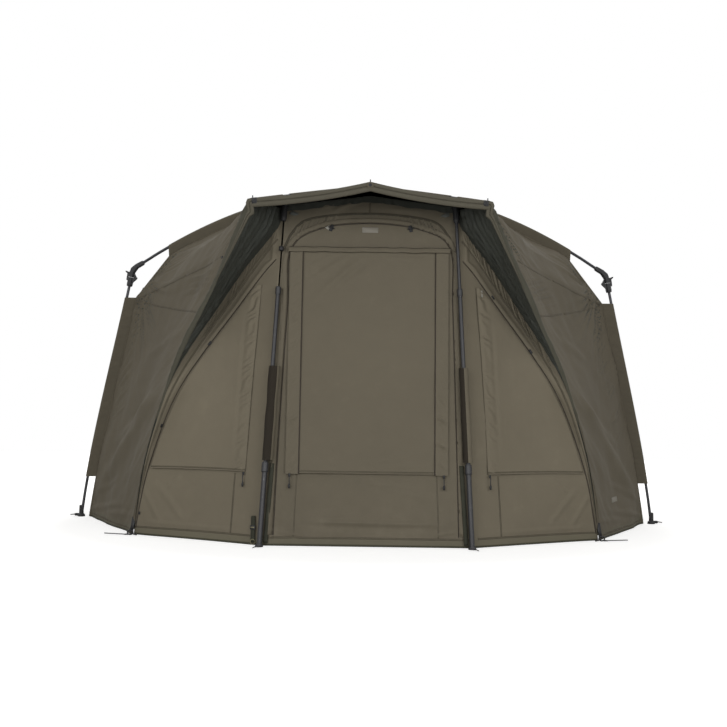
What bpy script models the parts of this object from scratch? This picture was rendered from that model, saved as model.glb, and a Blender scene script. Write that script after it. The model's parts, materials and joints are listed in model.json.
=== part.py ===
"""Fishing brolly shelter: a seven rib folding frame, its canopy and its zipped front.

Run with: blender --background --python part.py
Metres, +Z up, front towards -Y. The origin is on the ground under the middle of the shelter.
Heights are above the ground and depths are behind the line of the two storm pole feet,
until the shelter empty moves everything back to the middle.
"""
import math

import bmesh
import bpy
from mathutils import Matrix, Vector

# Driving dimensions of the whole shelter
DEPTH_TO_MIDDLE = 0.9406
HUB_DEPTH = 0.75
HINGE_RADIUS = 0.060
HINGE_HEIGHT = 1.447
CLOTH_APEX_HEIGHT = 1.408
GAP = 0.0003

# Tubes
RIB_TUBE = 0.0065
LEG_TUBE = 0.0065
UPPER_POLE = 0.0065
MIDDLE_POLE = 0.0080
LOWER_POLE = 0.0098
SLIDE_GAP = 0.0004

# Cloth
CLOTH = 0.0018
SEAM_GAP = 0.0016
FIN_WIDTH = 0.041
GROUND_GAP = 0.0015

CORNER_AZIMUTH = 30.6
# Each rib: compass angle from the front, reach, height of its end and slope as it leaves the hub
RIBS = {
    "centre": (0.0, 0.800, 1.340, 0.120),
    "corner_left": (-CORNER_AZIMUTH, 0.8716, 1.283, 0.195),
    "corner_right": (CORNER_AZIMUTH, 0.8716, 1.283, 0.195),
    "side_left": (-99.7, 1.070, 1.105, 0.020),
    "side_right": (99.7, 1.070, 1.105, 0.020),
    "rear_left": (-150.0, 1.098, 1.060, 0.090),
    "rear_right": (150.0, 1.098, 1.060, 0.090),
}
LEGGED = ("side_left", "side_right", "rear_left", "rear_right")
LEG_SPLAY = 0.223
LEG_BOW = 0.080

# Storm poles and the front, for the right side; the left is its mirror
POLE_FOOT_X = 0.394
POLE_LEAN_IN = 0.0484
POLE_LEAN_BACK = 0.1507
POLE_PIVOT_HEIGHT = 1.308
FRONT_FOOT_DEPTH = 0.027
FRONT_LEAN = 0.145
SIDE_FACET_SLOPE = 0.60
CORNER_PEG = Vector((0.922, 0.32, 0.0))
# Front edge of the canopy as seen from the front: reach and height, from the ground to the corner tip
FRONT_EDGE = ((0.922, 0.0), (0.886, 0.30), (0.772, 0.624), (0.571, 1.0), (0.444, 1.283))
# Border between the front and the canopy's inner flap, from the ground to the pole head
BORDER = ((0.940, 0.0), (0.905, 0.30), (0.790, 0.640), (0.587, 0.868), (0.487, 1.015), (0.360, 1.200))
# Curved zip of the side panel, from the ground to the pole
SIDE_ZIP = ((0.925, 0.03), (0.872, 0.265), (0.784, 0.529), (0.636, 0.747), (0.428, 1.008), (0.360, 1.085))


def start_afresh():
    for old in list(bpy.data.objects):
        bpy.data.objects.remove(old, do_unlink=True)


start_afresh()
SHELTER = bpy.data.collections.new("brolly_shelter")
CUTTERS = bpy.data.collections.new("cutters")
bpy.context.scene.collection.children.link(SHELTER)
bpy.context.scene.collection.children.link(CUTTERS)
MIDDLE = bpy.data.objects.new("shelter_middle", None)
MIDDLE.location = (0.0, -DEPTH_TO_MIDDLE, 0.0)
SHELTER.objects.link(MIDDLE)


def material(name, colour, roughness, metallic):
    made = bpy.data.materials.new(name)
    made.use_nodes = True
    shader = made.node_tree.nodes["Principled BSDF"]
    shader.inputs["Base Color"].default_value = (*colour, 1.0)
    shader.inputs["Roughness"].default_value = roughness
    shader.inputs["Metallic"].default_value = metallic
    return made


MATERIALS = {
    "canopy_cloth": material("canopy_cloth", (0.150, 0.130, 0.100), 0.75, 0.0),
    "frame_tube": material("frame_tube", (0.060, 0.060, 0.065), 0.40, 0.8),
    "moulding": material("moulding", (0.018, 0.018, 0.019), 0.50, 0.0),
    "zip_tape": material("zip_tape", (0.020, 0.018, 0.014), 0.70, 0.0),
    "peg_steel": material("peg_steel", (0.350, 0.350, 0.350), 0.35, 1.0),
}


# Objects and meshes


def keep(mesh, name, finish):
    """A finished piece: an object in the shelter's collection, hung on its empty."""
    made = bpy.data.objects.new(name, mesh)
    mesh.name = name
    mesh.materials.clear()
    mesh.materials.append(MATERIALS[finish])
    SHELTER.objects.link(made)
    made.parent = MIDDLE
    return made


def mesh_of(shape):
    """The evaluated mesh of a bmesh, as mesh data with its caps welded and faces outward."""
    bmesh.ops.remove_doubles(shape, verts=shape.verts, dist=0.00001)
    bmesh.ops.recalc_face_normals(shape, faces=shape.faces)
    mesh = bpy.data.meshes.new("shape")
    shape.to_mesh(mesh)
    shape.free()
    return mesh


def baked(obj):
    """The mesh that an object's modifiers or curve settings make, in place of the object."""
    bpy.context.view_layer.update()
    evaluated = obj.evaluated_get(bpy.context.evaluated_depsgraph_get())
    shape = bmesh.new()
    shape.from_mesh(bpy.data.meshes.new_from_object(evaluated))
    shape.transform(obj.matrix_world)
    bpy.data.objects.remove(obj, do_unlink=True)
    return mesh_of(shape)


def tube(points, radius):
    """A round tube along points, with filled ends."""
    curve = bpy.data.curves.new("tube", "CURVE")
    curve.dimensions = "3D"
    curve.bevel_depth = radius
    curve.bevel_resolution = 2
    curve.use_fill_caps = True
    spline = curve.splines.new("POLY")
    spline.points.add(len(points) - 1)
    for slot, point in zip(spline.points, points, strict=True):
        slot.co = (*point, 1.0)
    obj = bpy.data.objects.new("tube", curve)
    CUTTERS.objects.link(obj)
    return baked(obj)


def plate(outline, thickness, place, holes=()):
    """A flat outline with holes, filled and extruded both ways from its own plane."""
    curve = bpy.data.curves.new("plate", "CURVE")
    curve.dimensions = "2D"
    curve.fill_mode = "BOTH"
    curve.extrude = thickness / 2
    for ring in (outline, *holes):
        spline = curve.splines.new("POLY")
        spline.use_cyclic_u = True
        spline.points.add(len(ring) - 1)
        for slot, (x, y) in zip(spline.points, ring, strict=True):
            slot.co = (x, y, 0.0, 1.0)
    obj = bpy.data.objects.new("plate", curve)
    CUTTERS.objects.link(obj)
    obj.matrix_world = place
    return baked(obj)


def turned(profile, place, steps=12):
    """A profile of (radius, height) from top to bottom, turned about its own Z axis."""
    shape = bmesh.new()
    corners = [shape.verts.new((r, 0.0, z)) for r, z in profile]
    for above, below in zip(corners, corners[1:]):
        shape.edges.new((above, below))
    mesh = bpy.data.meshes.new("profile")
    shape.to_mesh(mesh)
    shape.free()
    obj = bpy.data.objects.new("turned", mesh)
    CUTTERS.objects.link(obj)
    screw = obj.modifiers.new("Screw", "SCREW")
    screw.steps = steps
    screw.render_steps = steps
    screw.use_merge_vertices = True
    screw.merge_threshold = 0.0001
    obj.matrix_world = place
    return baked(obj)


def ring_profile(inner, outer, top, bottom):
    """A turned sleeve's profile: down the outer side, and back up the bore."""
    return ((inner, top), (outer, top), (outer, bottom), (inner, bottom), (inner, top))


def rod_profile(radius, top, bottom):
    return ((0.0, top), (radius, top), (radius, bottom), (0.0, bottom))


def cylinder(start, end, radius, sides=8):
    """A round bar between two points."""
    shape = bmesh.new()
    length = (end - start).length
    bmesh.ops.create_cone(
        shape, cap_ends=True, segments=sides, radius1=radius, radius2=radius, depth=length
    )
    turn = (end - start).to_track_quat("Z", "Y").to_matrix().to_4x4()
    shape.transform(Matrix.Translation((start + end) / 2) @ turn)
    return mesh_of(shape)


def block(size, place, bevel=0.0):
    """A box with its edges rounded by bevel."""
    shape = bmesh.new()
    bmesh.ops.create_cube(shape, size=1.0)
    bmesh.ops.scale(shape, vec=size, verts=shape.verts)
    if bevel:
        bmesh.ops.bevel(shape, geom=shape.edges[:], offset=bevel, segments=1, affect="EDGES")
    shape.transform(place)
    return mesh_of(shape)


def torus(centre, axis, radius, wire, turns=12, sides=5):
    """A closed ring of round wire."""
    place = Matrix.Translation(centre) @ axis.to_track_quat("Z", "Y").to_matrix().to_4x4()
    shape = bmesh.new()
    rings = []
    for k in range(turns):
        around = math.tau * k / turns
        out = Vector((math.cos(around), math.sin(around), 0.0))
        ring = []
        for n in range(sides):
            turn = math.tau * n / sides
            offset = out * (radius + wire * math.cos(turn)) + Vector((0, 0, wire * math.sin(turn)))
            ring.append(shape.verts.new(offset))
        rings.append(ring)
    for k in range(turns):
        for n in range(sides):
            a, b = rings[k], rings[(k + 1) % turns]
            m = (n + 1) % sides
            shape.faces.new((a[n], b[n], b[m], a[m]))
    shape.transform(place)
    return mesh_of(shape)


def combine(meshes, operation):
    """One solid from several, by exact booleans in turn."""
    first = bpy.data.objects.new("first", meshes[0])
    CUTTERS.objects.link(first)
    for n, mesh in enumerate(meshes[1:]):
        other = bpy.data.objects.new("other", mesh)
        other.hide_render = True
        other.display_type = "WIRE"
        CUTTERS.objects.link(other)
        boolean = first.modifiers.new(f"Boolean {n}", "BOOLEAN")
        boolean.operation = operation
        boolean.solver = "EXACT"
        boolean.object = other
    others = [m.object for m in first.modifiers]
    mesh = baked(first)
    for other in others:
        bpy.data.objects.remove(other, do_unlink=True)
    return mesh


def fused(*meshes):
    return combine(meshes, "UNION")


def cut(mesh, *cutters):
    return combine((mesh, *cutters), "DIFFERENCE")


def loft(rings):
    """A solid through rings of the same number of points, closed at both ends."""
    shape = bmesh.new()
    made = [[shape.verts.new(p) for p in ring] for ring in rings]
    count = len(made[0])
    for a, b in zip(made, made[1:]):
        for n in range(count):
            m = (n + 1) % count
            shape.faces.new((a[n], a[m], b[m], b[n]))
    shape.faces.new(made[0])
    shape.faces.new(made[-1])
    return mesh_of(shape)


def even(count):
    """Places from 0 to 1, count steps apart."""
    return [k / count for k in range(count + 1)]


def sheet(surface, across, along, thickness=CLOTH):
    """A cloth: a grid laid on surface(u, v) at the places listed, and given a thickness."""
    columns, rows = len(across) - 1, len(along) - 1
    shape = bmesh.new()
    bmesh.ops.create_grid(shape, x_segments=columns, y_segments=rows, size=0.5)
    for vert in shape.verts:
        u = across[round((vert.co.x + 0.5) * columns)]
        v = along[round((vert.co.y + 0.5) * rows)]
        vert.co = surface(u, v)
    mesh = bpy.data.meshes.new("sheet")
    shape.to_mesh(mesh)
    shape.free()
    obj = bpy.data.objects.new("sheet", mesh)
    CUTTERS.objects.link(obj)
    solid = obj.modifiers.new("Solidify", "SOLIDIFY")
    solid.thickness = thickness
    solid.offset = 0.0
    return baked(obj)


# Places


def outward(azimuth):
    """Level direction away from the hub; 0 is the front and +90 is the right."""
    turn = math.radians(azimuth)
    return Vector((math.sin(turn), -math.cos(turn), 0.0))


def tangent(azimuth):
    """Axis about which a rib lifts: outward turned into up by the right-hand rule."""
    turn = math.radians(azimuth)
    return Vector((-math.cos(turn), -math.sin(turn), 0.0))


def upright_plane(azimuth, reach=0.0, height=0.0, lean=0.0):
    """A frame in a rib's upright plane: X outward, Y up, Z along the rib's hinge axis."""
    x, y, z = outward(azimuth), Vector((0, 0, 1)), tangent(azimuth)
    place = Matrix((x, y, z)).transposed().to_4x4()
    place.translation = spot(azimuth, reach, height)
    return place @ Matrix.Rotation(lean, 4, "Z")


def spot(azimuth, reach, height):
    """The point at a reach from the hub's axis, at a height."""
    return Vector((0.0, HUB_DEPTH, height)) + outward(azimuth) * reach


def smooth(points, t):
    """A point on the smooth curve through points, with t from 0 to 1 over its whole run."""
    last = len(points) - 1
    k = min(int(t * last), last - 1)
    w = t * last - k
    b, c = Vector(points[k]), Vector(points[k + 1])
    a = Vector(points[k - 1]) if k else b * 2 - c
    d = Vector(points[k + 2]) if k + 2 <= last else c * 2 - b
    return 0.5 * (2 * b + (c - a) * w + (2 * a - 5 * b + 4 * c - d) * w**2 + (3 * b - a - 3 * c + d) * w**3)


def rib_height(rib, reach):
    _, end, end_height, slope = RIBS[rib]
    run = end - HINGE_RADIUS
    drop = HINGE_HEIGHT - end_height
    bend = (drop - slope * run) / run**2
    along = reach - HINGE_RADIUS
    return HINGE_HEIGHT - slope * along - bend * along**2


def rib_slope(rib, reach):
    """The angle that the rib makes with the level, at a reach; it falls outward."""
    step = 0.001
    return math.atan((rib_height(rib, reach + step) - rib_height(rib, reach - step)) / (2 * step))


def leg_reach(rib, height):
    """The leg's centre line, splayed outward and slightly bowed."""
    _, end, end_height, _ = RIBS[rib]
    s = 1 - height / end_height
    return end + LEG_SPLAY * s + LEG_BOW * s**2 * (1 - s)


def stadium(start, end, radius, steps=5, square_start=False):
    """The outline of a bar with a round end about end, and a round or square start."""
    way = (end - start).normalized()
    side = Vector((-way.y, way.x))
    turns = [math.pi * k / steps - math.pi / 2 for k in range(steps + 1)]
    far = [end + way * radius * math.cos(a) + side * radius * math.sin(a) for a in turns]
    if square_start:
        near = [start + side * radius, start - side * radius]
    else:
        near = [start - way * radius * math.cos(a) - side * radius * math.sin(a) for a in turns]
    return [(p.x, p.y) for p in far + near]


def circle(centre, radius, steps=8):
    return [
        (centre[0] + radius * math.cos(math.tau * k / steps), centre[1] + radius * math.sin(math.tau * k / steps))
        for k in range(steps)
    ]


# Hub

HUB_BASE_TOP = 1.433
HUB_BASE = 0.008
EAR_OFFSET = 0.0064
EAR = 0.003
PIN = 0.0025
PIN_GAP = 0.0004
BLADE = 0.0080
BLADE_EYE = 0.0085
BLADE_END = 0.100


def hub():
    axis = Matrix.Translation((0.0, HUB_DEPTH, 0.0))
    base = turned(
        (
            (0.0, HUB_BASE_TOP),
            (0.070, HUB_BASE_TOP),
            (0.073, HUB_BASE_TOP - 0.003),
            (0.070, HUB_BASE_TOP - HUB_BASE),
            (0.0, HUB_BASE_TOP - HUB_BASE),
        ),
        axis,
        20,
    )
    pieces = [base]
    for azimuth, *_ in RIBS.values():
        plane = upright_plane(azimuth)
        foot = Vector((HINGE_RADIUS, HUB_BASE_TOP - 0.004))
        eye = Vector((HINGE_RADIUS, HINGE_HEIGHT))
        outline = stadium(foot, eye, BLADE_EYE, 4, square_start=True)
        for side in (-1, 1):
            offset = Matrix.Translation((0, 0, side * EAR_OFFSET))
            pieces.append(plate(outline, EAR, plane @ offset))
        pin_half = tangent(azimuth) * (EAR_OFFSET + EAR / 2 + 0.0015)
        middle = spot(azimuth, HINGE_RADIUS, HINGE_HEIGHT)
        pieces.append(cylinder(middle - pin_half, middle + pin_half, PIN))
    keep(fused(*pieces), "hub_body", "moulding")
    cap = turned(
        (
            (0.0, 1.476),
            (0.012, 1.475),
            (0.024, 1.470),
            (0.032, 1.460),
            (0.034, 1.450),
            (0.034, HUB_BASE_TOP + GAP),
            (0.0, HUB_BASE_TOP + GAP),
        ),
        axis,
        20,
    )
    keep(cap, "hub_cap", "moulding")


# Ribs and the elbows at their ends

ELBOW_START = 0.050
RIB_POINTS = 13
POLE_HEAD_REACH = 0.6440
LUG_DROP = 0.020
LUG = 0.0070
CAP_LENGTH = 0.022


def rib_end(rib):
    """Where the rib's tube stops: inside an elbow, or at a tip cap."""
    return RIBS[rib][1] - (ELBOW_START - 0.012 if rib in LEGGED else CAP_LENGTH)


def ribs():
    for rib, (azimuth, *_) in RIBS.items():
        first, last = BLADE_END - 0.012, rib_end(rib)
        reaches = [first + (last - first) * k / (RIB_POINTS - 1) for k in range(RIB_POINTS)]
        bar = tube([spot(azimuth, r, rib_height(rib, r)) for r in reaches], RIB_TUBE)
        eye = Vector((HINGE_RADIUS, HINGE_HEIGHT))
        stem = Vector((BLADE_END, rib_height(rib, BLADE_END)))
        outline = stadium(stem, eye, BLADE_EYE, 5, square_start=True)
        blade = plate(outline, BLADE, upright_plane(azimuth))
        pieces = [bar, blade]
        if rib.startswith("corner"):
            eye_height = POLE_PIVOT_HEIGHT
            top = Vector((POLE_HEAD_REACH, rib_height(rib, POLE_HEAD_REACH)))
            low = Vector((POLE_HEAD_REACH, eye_height))
            pieces.append(plate(stadium(top, low, 0.007, 5, square_start=True), LUG, upright_plane(azimuth)))
            half = tangent(azimuth) * (LUG / 2 + 0.0065)
            middle = spot(azimuth, POLE_HEAD_REACH, eye_height)
            pieces.append(cylinder(middle - half, middle + half, PIN))
        body = fused(*pieces)
        half = tangent(azimuth) * BLADE
        middle = spot(azimuth, HINGE_RADIUS, HINGE_HEIGHT)
        bored = cut(body, cylinder(middle - half, middle + half, PIN + PIN_GAP))
        keep(bored, f"rib_{rib}", "frame_tube")
        if rib not in LEGGED:
            rib_cap(rib, azimuth)


def rib_cap(rib, azimuth):
    """A moulded cap over the rib's tip, with a short pin standing on it."""
    reach = RIBS[rib][1]
    start = reach - CAP_LENGTH - 0.012
    slope = rib_slope(rib, reach - 0.01)
    place = Matrix.Translation(spot(azimuth, reach, rib_height(rib, reach)))
    way = outward(azimuth) * math.cos(slope) + Vector((0, 0, math.sin(slope)))
    place = place @ way.to_track_quat("Z", "Y").to_matrix().to_4x4()
    length = (reach - start) / math.cos(slope)
    bore = RIB_TUBE + 0.0008
    shell = turned(
        (
            (0.0, 0.0),
            (0.0075, -0.001),
            (0.0100, -0.005),
            (0.0100, -length),
            (bore, -length),
            (bore, -CAP_LENGTH + 0.001),
            (0.0, -CAP_LENGTH + 0.001),
        ),
        place,
        10,
    )
    pin_foot = spot(azimuth, reach - 0.012, rib_height(rib, reach - 0.012) + 0.006)
    pin = cylinder(pin_foot, pin_foot + Vector((0, 0, 0.012)), 0.0022, 6)
    keep(fused(shell, pin), f"rib_cap_{rib}", "moulding")


ELBOW_BODY = 0.0120
ELBOW_PIN_OFFSET = 0.0200
ELBOW_PLANE_DROP = 0.034
SOCKET = 0.042
TONGUE = 0.0060
ELBOW_EYE = 0.0068
ELBOW_EAR = 0.0045


def leg_lean(rib, height):
    step = 0.002
    return math.atan((leg_reach(rib, height - step) - leg_reach(rib, height + step)) / (2 * step))


def elbow_frame(rib):
    """At the parting face of the elbow: X across the leg outward, Y up the leg, Z along the hinge."""
    azimuth, _, end_height, _ = RIBS[rib]
    height = end_height - ELBOW_PLANE_DROP
    return upright_plane(azimuth, leg_reach(rib, height), height, leg_lean(rib, height))


def rounded_ring(centre, right, up, half_wide, half_high, steps=8, squareness=0.62):
    """A ring of points between a circle and a rounded rectangle."""
    ring = []
    for k in range(steps):
        turn = math.tau * (k + 0.5) / steps
        c, s = math.cos(turn), math.sin(turn)
        x = half_wide * math.copysign(abs(c) ** squareness, c)
        y = half_high * math.copysign(abs(s) ** squareness, s)
        ring.append(centre + right * x + up * y)
    return ring


def elbows():
    for rib in LEGGED:
        azimuth, end, _, _ = RIBS[rib]
        frame = elbow_frame(rib)
        across = frame.to_3x3() @ Vector((1, 0, 0))
        down = frame.to_3x3() @ Vector((0, -1, 0))
        axis = tangent(azimuth)
        plane_middle = frame.translation
        start = end - ELBOW_START
        entry = spot(azimuth, start, rib_height(rib, start))
        way = outward(azimuth) * math.cos(rib_slope(rib, start)) + Vector((0, 0, math.sin(rib_slope(rib, start))))
        corner = plane_middle - down * (ELBOW_PLANE_DROP + 0.004)
        stations = (
            (entry, way, 0.0092, 0.0092),
            (entry + way * 0.010, way, 0.0105, 0.0105),
            (corner - way * 0.022, way, 0.0105, 0.0110),
            (corner - way * 0.006 + down * 0.006, (way + down).normalized(), 0.0115, 0.0135),
            (corner + down * 0.018, down, ELBOW_BODY, ELBOW_BODY),
            (plane_middle - down * GAP * 2, down, ELBOW_BODY, ELBOW_BODY),
        )
        rings = []
        for centre, along, wide, high in stations:
            up = along.cross(axis).normalized()
            rings.append(rounded_ring(centre, axis, up, wide, high))
        housing = loft(rings)
        pin_middle = frame @ Vector((-ELBOW_PIN_OFFSET, 0.0, 0.0))
        tongue = plate(knuckle(1), TONGUE, frame)
        bore_half = axis * 0.012
        bore = cylinder(pin_middle - bore_half, pin_middle + bore_half, PIN + PIN_GAP)
        rib_bore = tube(
            [
                spot(azimuth, r, rib_height(rib, r))
                for r in (start - 0.006, start + 0.004, rib_end(rib) + 0.001)
            ],
            RIB_TUBE + GAP,
        )
        latch_ears = []
        for side in (-1, 1):
            offset = Matrix.Translation((0, 0, side * 0.0052))
            ear = plate(stadium(Vector((0.008, 0.016)), LATCH_PIVOT, 0.0040, 4), 0.0020, frame @ offset)
            latch_ears.append(ear)
        latch_half = axis * 0.0072
        latch_middle = frame @ Vector((LATCH_PIVOT.x, LATCH_PIVOT.y, 0.0))
        latch_pin = cylinder(latch_middle - latch_half, latch_middle + latch_half, 0.0014, 6)
        upper = cut(fused(housing, tongue, *latch_ears, latch_pin), bore, rib_bore)
        keep(upper, f"elbow_upper_{rib}", "moulding")

        socket_rings = []
        for drop, half in ((GAP, 0.0120), (0.004, 0.0126), (SOCKET - 0.008, 0.0123), (SOCKET, 0.0105)):
            socket_rings.append(rounded_ring(plane_middle + down * drop, axis, across, half, half))
        socket = loft(socket_rings)
        ears = []
        for side in (-1, 1):
            offset = Matrix.Translation((0, 0, side * (TONGUE / 2 + 0.0006 + ELBOW_EAR / 2)))
            ears.append(plate(knuckle(-1), ELBOW_EAR, frame @ offset))
        pin_half = axis * (TONGUE / 2 + ELBOW_EAR + 0.0026)
        hinge_pin = cylinder(pin_middle - pin_half, pin_middle + pin_half, PIN)
        leg_bore = tube(leg_points(rib, 0.003, 6)[:3], LEG_TUBE + GAP)
        keep(cut(fused(socket, *ears, hinge_pin), leg_bore), f"elbow_lower_{rib}", "moulding")
        latch(rib, frame)


def knuckle(side):
    """An eye round the hinge pin with a web to the housing above it (1) or the socket below it (-1)."""
    pin_x = -ELBOW_PIN_OFFSET
    turns = [math.radians(25 * k) for k in range(10)]
    eye = [(pin_x + ELBOW_EYE * math.cos(a), -side * ELBOW_EYE * math.sin(a)) for a in turns]
    web = [(-0.0115, side * 0.022), (-0.0075, side * 0.022), (-0.0075, side * 0.0030)]
    return eye + web + [(pin_x + ELBOW_EYE, side * 0.0030)]


LATCH_PIVOT = Vector((0.0172, 0.0180))


def latch(rib, frame):
    """The lever on the outer side: an eye, a thumb tab above and a nose over the parting face."""
    outline = (
        (0.0150, 0.0135),
        (0.0150, -0.0100),
        (0.0136, -0.0125),
        (0.0136, -0.0165),
        (0.0185, -0.0165),
        (0.0200, -0.0060),
        (0.0205, 0.0130),
        (0.0300, 0.0190),
        (0.0315, 0.0225),
        (0.0290, 0.0240),
        (0.0195, 0.0222),
        (0.0150, 0.0222),
    )
    hole = circle(LATCH_PIVOT, 0.0014 + 0.0003, 10)
    keep(plate(outline, 0.0078, frame, (hole,)), f"latch_{rib}", "moulding")


# Legs and feet

LEG_POINTS = 12
FOOT_HEIGHT = 0.050


def leg_points(rib, top_gap, count):
    """Points down a leg's centre line, from inside its socket to inside its foot."""
    height = RIBS[rib][2] - ELBOW_PLANE_DROP
    top = height - top_gap - 0.006
    low = 0.012
    heights = [top + (low - top) * k / (count - 1) for k in range(count)]
    return [spot(RIBS[rib][0], leg_reach(rib, z), z) for z in heights]


def legs():
    for rib in LEGGED:
        azimuth = RIBS[rib][0]
        keep(tube(leg_points(rib, 0.004, LEG_POINTS), LEG_TUBE), f"leg_{rib}", "frame_tube")
        foot(rib, azimuth)


def foot(rib, azimuth):
    """A boot on the leg's end, flat underneath, with a lug and ring for the ground peg."""
    reach = leg_reach(rib, 0.0)
    lean = leg_lean(rib, 0.01)
    base = spot(azimuth, reach, 0.0)
    boot = turned(
        (
            (0.0, FOOT_HEIGHT),
            (0.0088, FOOT_HEIGHT),
            (0.0098, FOOT_HEIGHT - 0.004),
            (0.0105, 0.014),
            (0.0160, 0.010),
            (0.0170, 0.004),
            (0.0170, 0.0),
            (0.0, 0.0),
        ),
        Matrix.Translation(base),
        12,
    )
    plane = upright_plane(azimuth)
    lug = plate(
        stadium(Vector((reach + 0.008, 0.008)), Vector((reach + 0.026, 0.008)), 0.0060, 6, square_start=True),
        0.006,
        plane,
    )
    way = outward(azimuth) * math.sin(lean) - Vector((0, 0, math.cos(lean)))
    top = spot(azimuth, leg_reach(rib, 0.080), 0.080)
    seat = spot(azimuth, leg_reach(rib, 0.012), 0.012) + way * GAP
    bore = cylinder(top, seat, LEG_TUBE + 0.0008, 12)
    ring_middle = spot(azimuth, reach + 0.0270 + 0.0118, 0.008)
    ring = torus(ring_middle, Vector((0, 0, 1)) + outward(azimuth) * 0.1, 0.0118, 0.0016)
    keep(cut(fused(boot, lug, ring), bore), f"foot_{rib}", "moulding")


# Storm poles

POLE_TOP_LINE = 0.030
UPPER_END = 0.905
MIDDLE_TOP = 0.975
MIDDLE_END = 0.215
LOWER_TOP = 0.310
LOWER_END = 0.012


def pole_point(side, height):
    return Vector((side * (POLE_FOOT_X - POLE_LEAN_IN * height), POLE_LEAN_BACK * height, height))


def pole_frame(side, height):
    """Z down the pole from a height, for turned parts written with heights above it."""
    way = (pole_point(side, 1.0) - pole_point(side, 0.0)).normalized()
    return Matrix.Translation(pole_point(side, height)) @ way.to_track_quat("Z", "Y").to_matrix().to_4x4()


def storm_poles():
    stretch = (pole_point(1, 1.0) - pole_point(1, 0.0)).length
    for word, side in (("left", -1), ("right", 1)):
        azimuth = side * CORNER_AZIMUTH
        ground = pole_frame(side, 0.0)
        pole_head(word, side, azimuth)
        top = (POLE_PIVOT_HEIGHT - POLE_TOP_LINE) * stretch
        upper = turned(
            ring_profile(UPPER_POLE - 0.0012, UPPER_POLE, top, UPPER_END * stretch), ground, 14
        )
        keep(upper, f"pole_upper_{word}", "frame_tube")
        bore = UPPER_POLE + SLIDE_GAP
        middle_top = MIDDLE_TOP * stretch
        middle = turned(
            (
                (bore, middle_top),
                (0.0100, middle_top),
                (0.0108, middle_top - 0.004),
                (0.0108, middle_top - 0.026),
                (0.0098, middle_top - 0.030),
                (MIDDLE_POLE, middle_top - 0.030),
                (MIDDLE_POLE, MIDDLE_END * stretch),
                (bore, MIDDLE_END * stretch),
                (bore, middle_top),
            ),
            ground,
            14,
        )
        keep(middle, f"pole_middle_{word}", "frame_tube")
        wide_bore = MIDDLE_POLE + SLIDE_GAP
        lower_top = LOWER_TOP * stretch
        lower = turned(
            (
                (wide_bore, lower_top),
                (0.0118, lower_top),
                (0.0128, lower_top - 0.004),
                (0.0128, lower_top - 0.034),
                (0.0115, lower_top - 0.038),
                (LOWER_POLE, lower_top - 0.038),
                (LOWER_POLE, LOWER_END * stretch),
                (wide_bore, LOWER_END * stretch),
                (wide_bore, lower_top),
            ),
            ground,
            16,
        )
        level = Matrix.Translation(pole_point(side, 0.0))
        shoe = turned(
            (
                (0.0, 0.0112),
                (0.0128, 0.0112),
                (0.0150, 0.0060),
                (0.0150, 0.0),
                (0.0, 0.0),
            ),
            level,
            16,
        )
        plug = turned(rod_profile(wide_bore + 0.0006, 0.034, 0.008), ground, 12)
        keep(fused(lower, shoe, plug), f"pole_lower_{word}", "frame_tube")


def pole_head(word, side, azimuth):
    """A fork over the rib's lug, closing to a socket for the upper pole."""
    pivot = spot(azimuth, POLE_HEAD_REACH, POLE_PIVOT_HEIGHT)
    ground = pole_frame(side, 0.0)
    stretch = (pole_point(1, 1.0) - pole_point(1, 0.0)).length
    axis = tangent(azimuth)
    top_of_socket = (POLE_PIVOT_HEIGHT - 0.016) * stretch
    bottom = (POLE_PIVOT_HEIGHT - 0.075) * stretch
    socket = turned(
        (
            (0.0, top_of_socket),
            (0.0110, top_of_socket),
            (0.0125, top_of_socket - 0.006),
            (0.0125, bottom + 0.012),
            (0.0095, bottom),
            (0.0, bottom),
        ),
        ground,
        16,
    )
    plane = upright_plane(azimuth)
    start = Vector((POLE_HEAD_REACH, POLE_PIVOT_HEIGHT - 0.026))
    eye = Vector((POLE_HEAD_REACH, POLE_PIVOT_HEIGHT))
    cheeks = []
    for way in (-1, 1):
        offset = Matrix.Translation((0, 0, way * (LUG / 2 + 0.0008 + 0.0018)))
        cheeks.append(plate(stadium(start, eye, 0.0085, 8, square_start=True), 0.0036, plane @ offset))
    pin_bore = cylinder(pivot - axis * 0.02, pivot + axis * 0.02, PIN + PIN_GAP)
    tube_bore = turned(
        rod_profile(UPPER_POLE + GAP, (POLE_PIVOT_HEIGHT - POLE_TOP_LINE) * stretch + GAP, bottom - 0.01),
        ground,
        14,
    )
    body = fused(socket, *cheeks)
    keep(cut(body, pin_bore, tube_bore), f"pole_head_{word}", "moulding")


# Canopy

RIB_SHARE = 0.42
SLEEVE_TOP = 0.50
EDGE_SHARE = 0.45
SLEEVE_END_REACH = {"side": 0.9026, "rear": 0.935}
LEG_SLEEVE_TOP = {"side": 0.980, "rear": 0.936}
INSET_TOP = 0.043
INSET_FOOT = 0.036
PEAK_DROP = 0.0125
HUB_DROP = 0.020
SAG_ROOF = 0.030
SAG_WALL = 0.030


def rib_cloth(rib, v, end_reach, end_drop):
    """The line that the canopy follows under a rib, from the apex out to end_reach."""
    apex = Vector((0.0, HUB_DEPTH, CLOTH_APEX_HEIGHT))
    flat = 0.085
    reach = v * end_reach
    if reach <= 0.0:
        return apex
    drop = HUB_DROP + (end_drop - HUB_DROP) * v
    under = rib_height(rib, max(reach, flat)) - drop
    if reach < flat:
        under = apex.z + (under - apex.z) * reach / flat
    return spot(RIBS[rib][0], reach, under)


def front_edge(side, s):
    """The canopy's front edge, from the corner tip at 0 to the corner peg at 1."""
    x, z = smooth(tuple(reversed(FRONT_EDGE)), s)
    depth = CORNER_PEG.y * (1 - z / FRONT_EDGE[-1][1])
    return Vector((side * x, depth, max(z, GROUND_GAP)))


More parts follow.
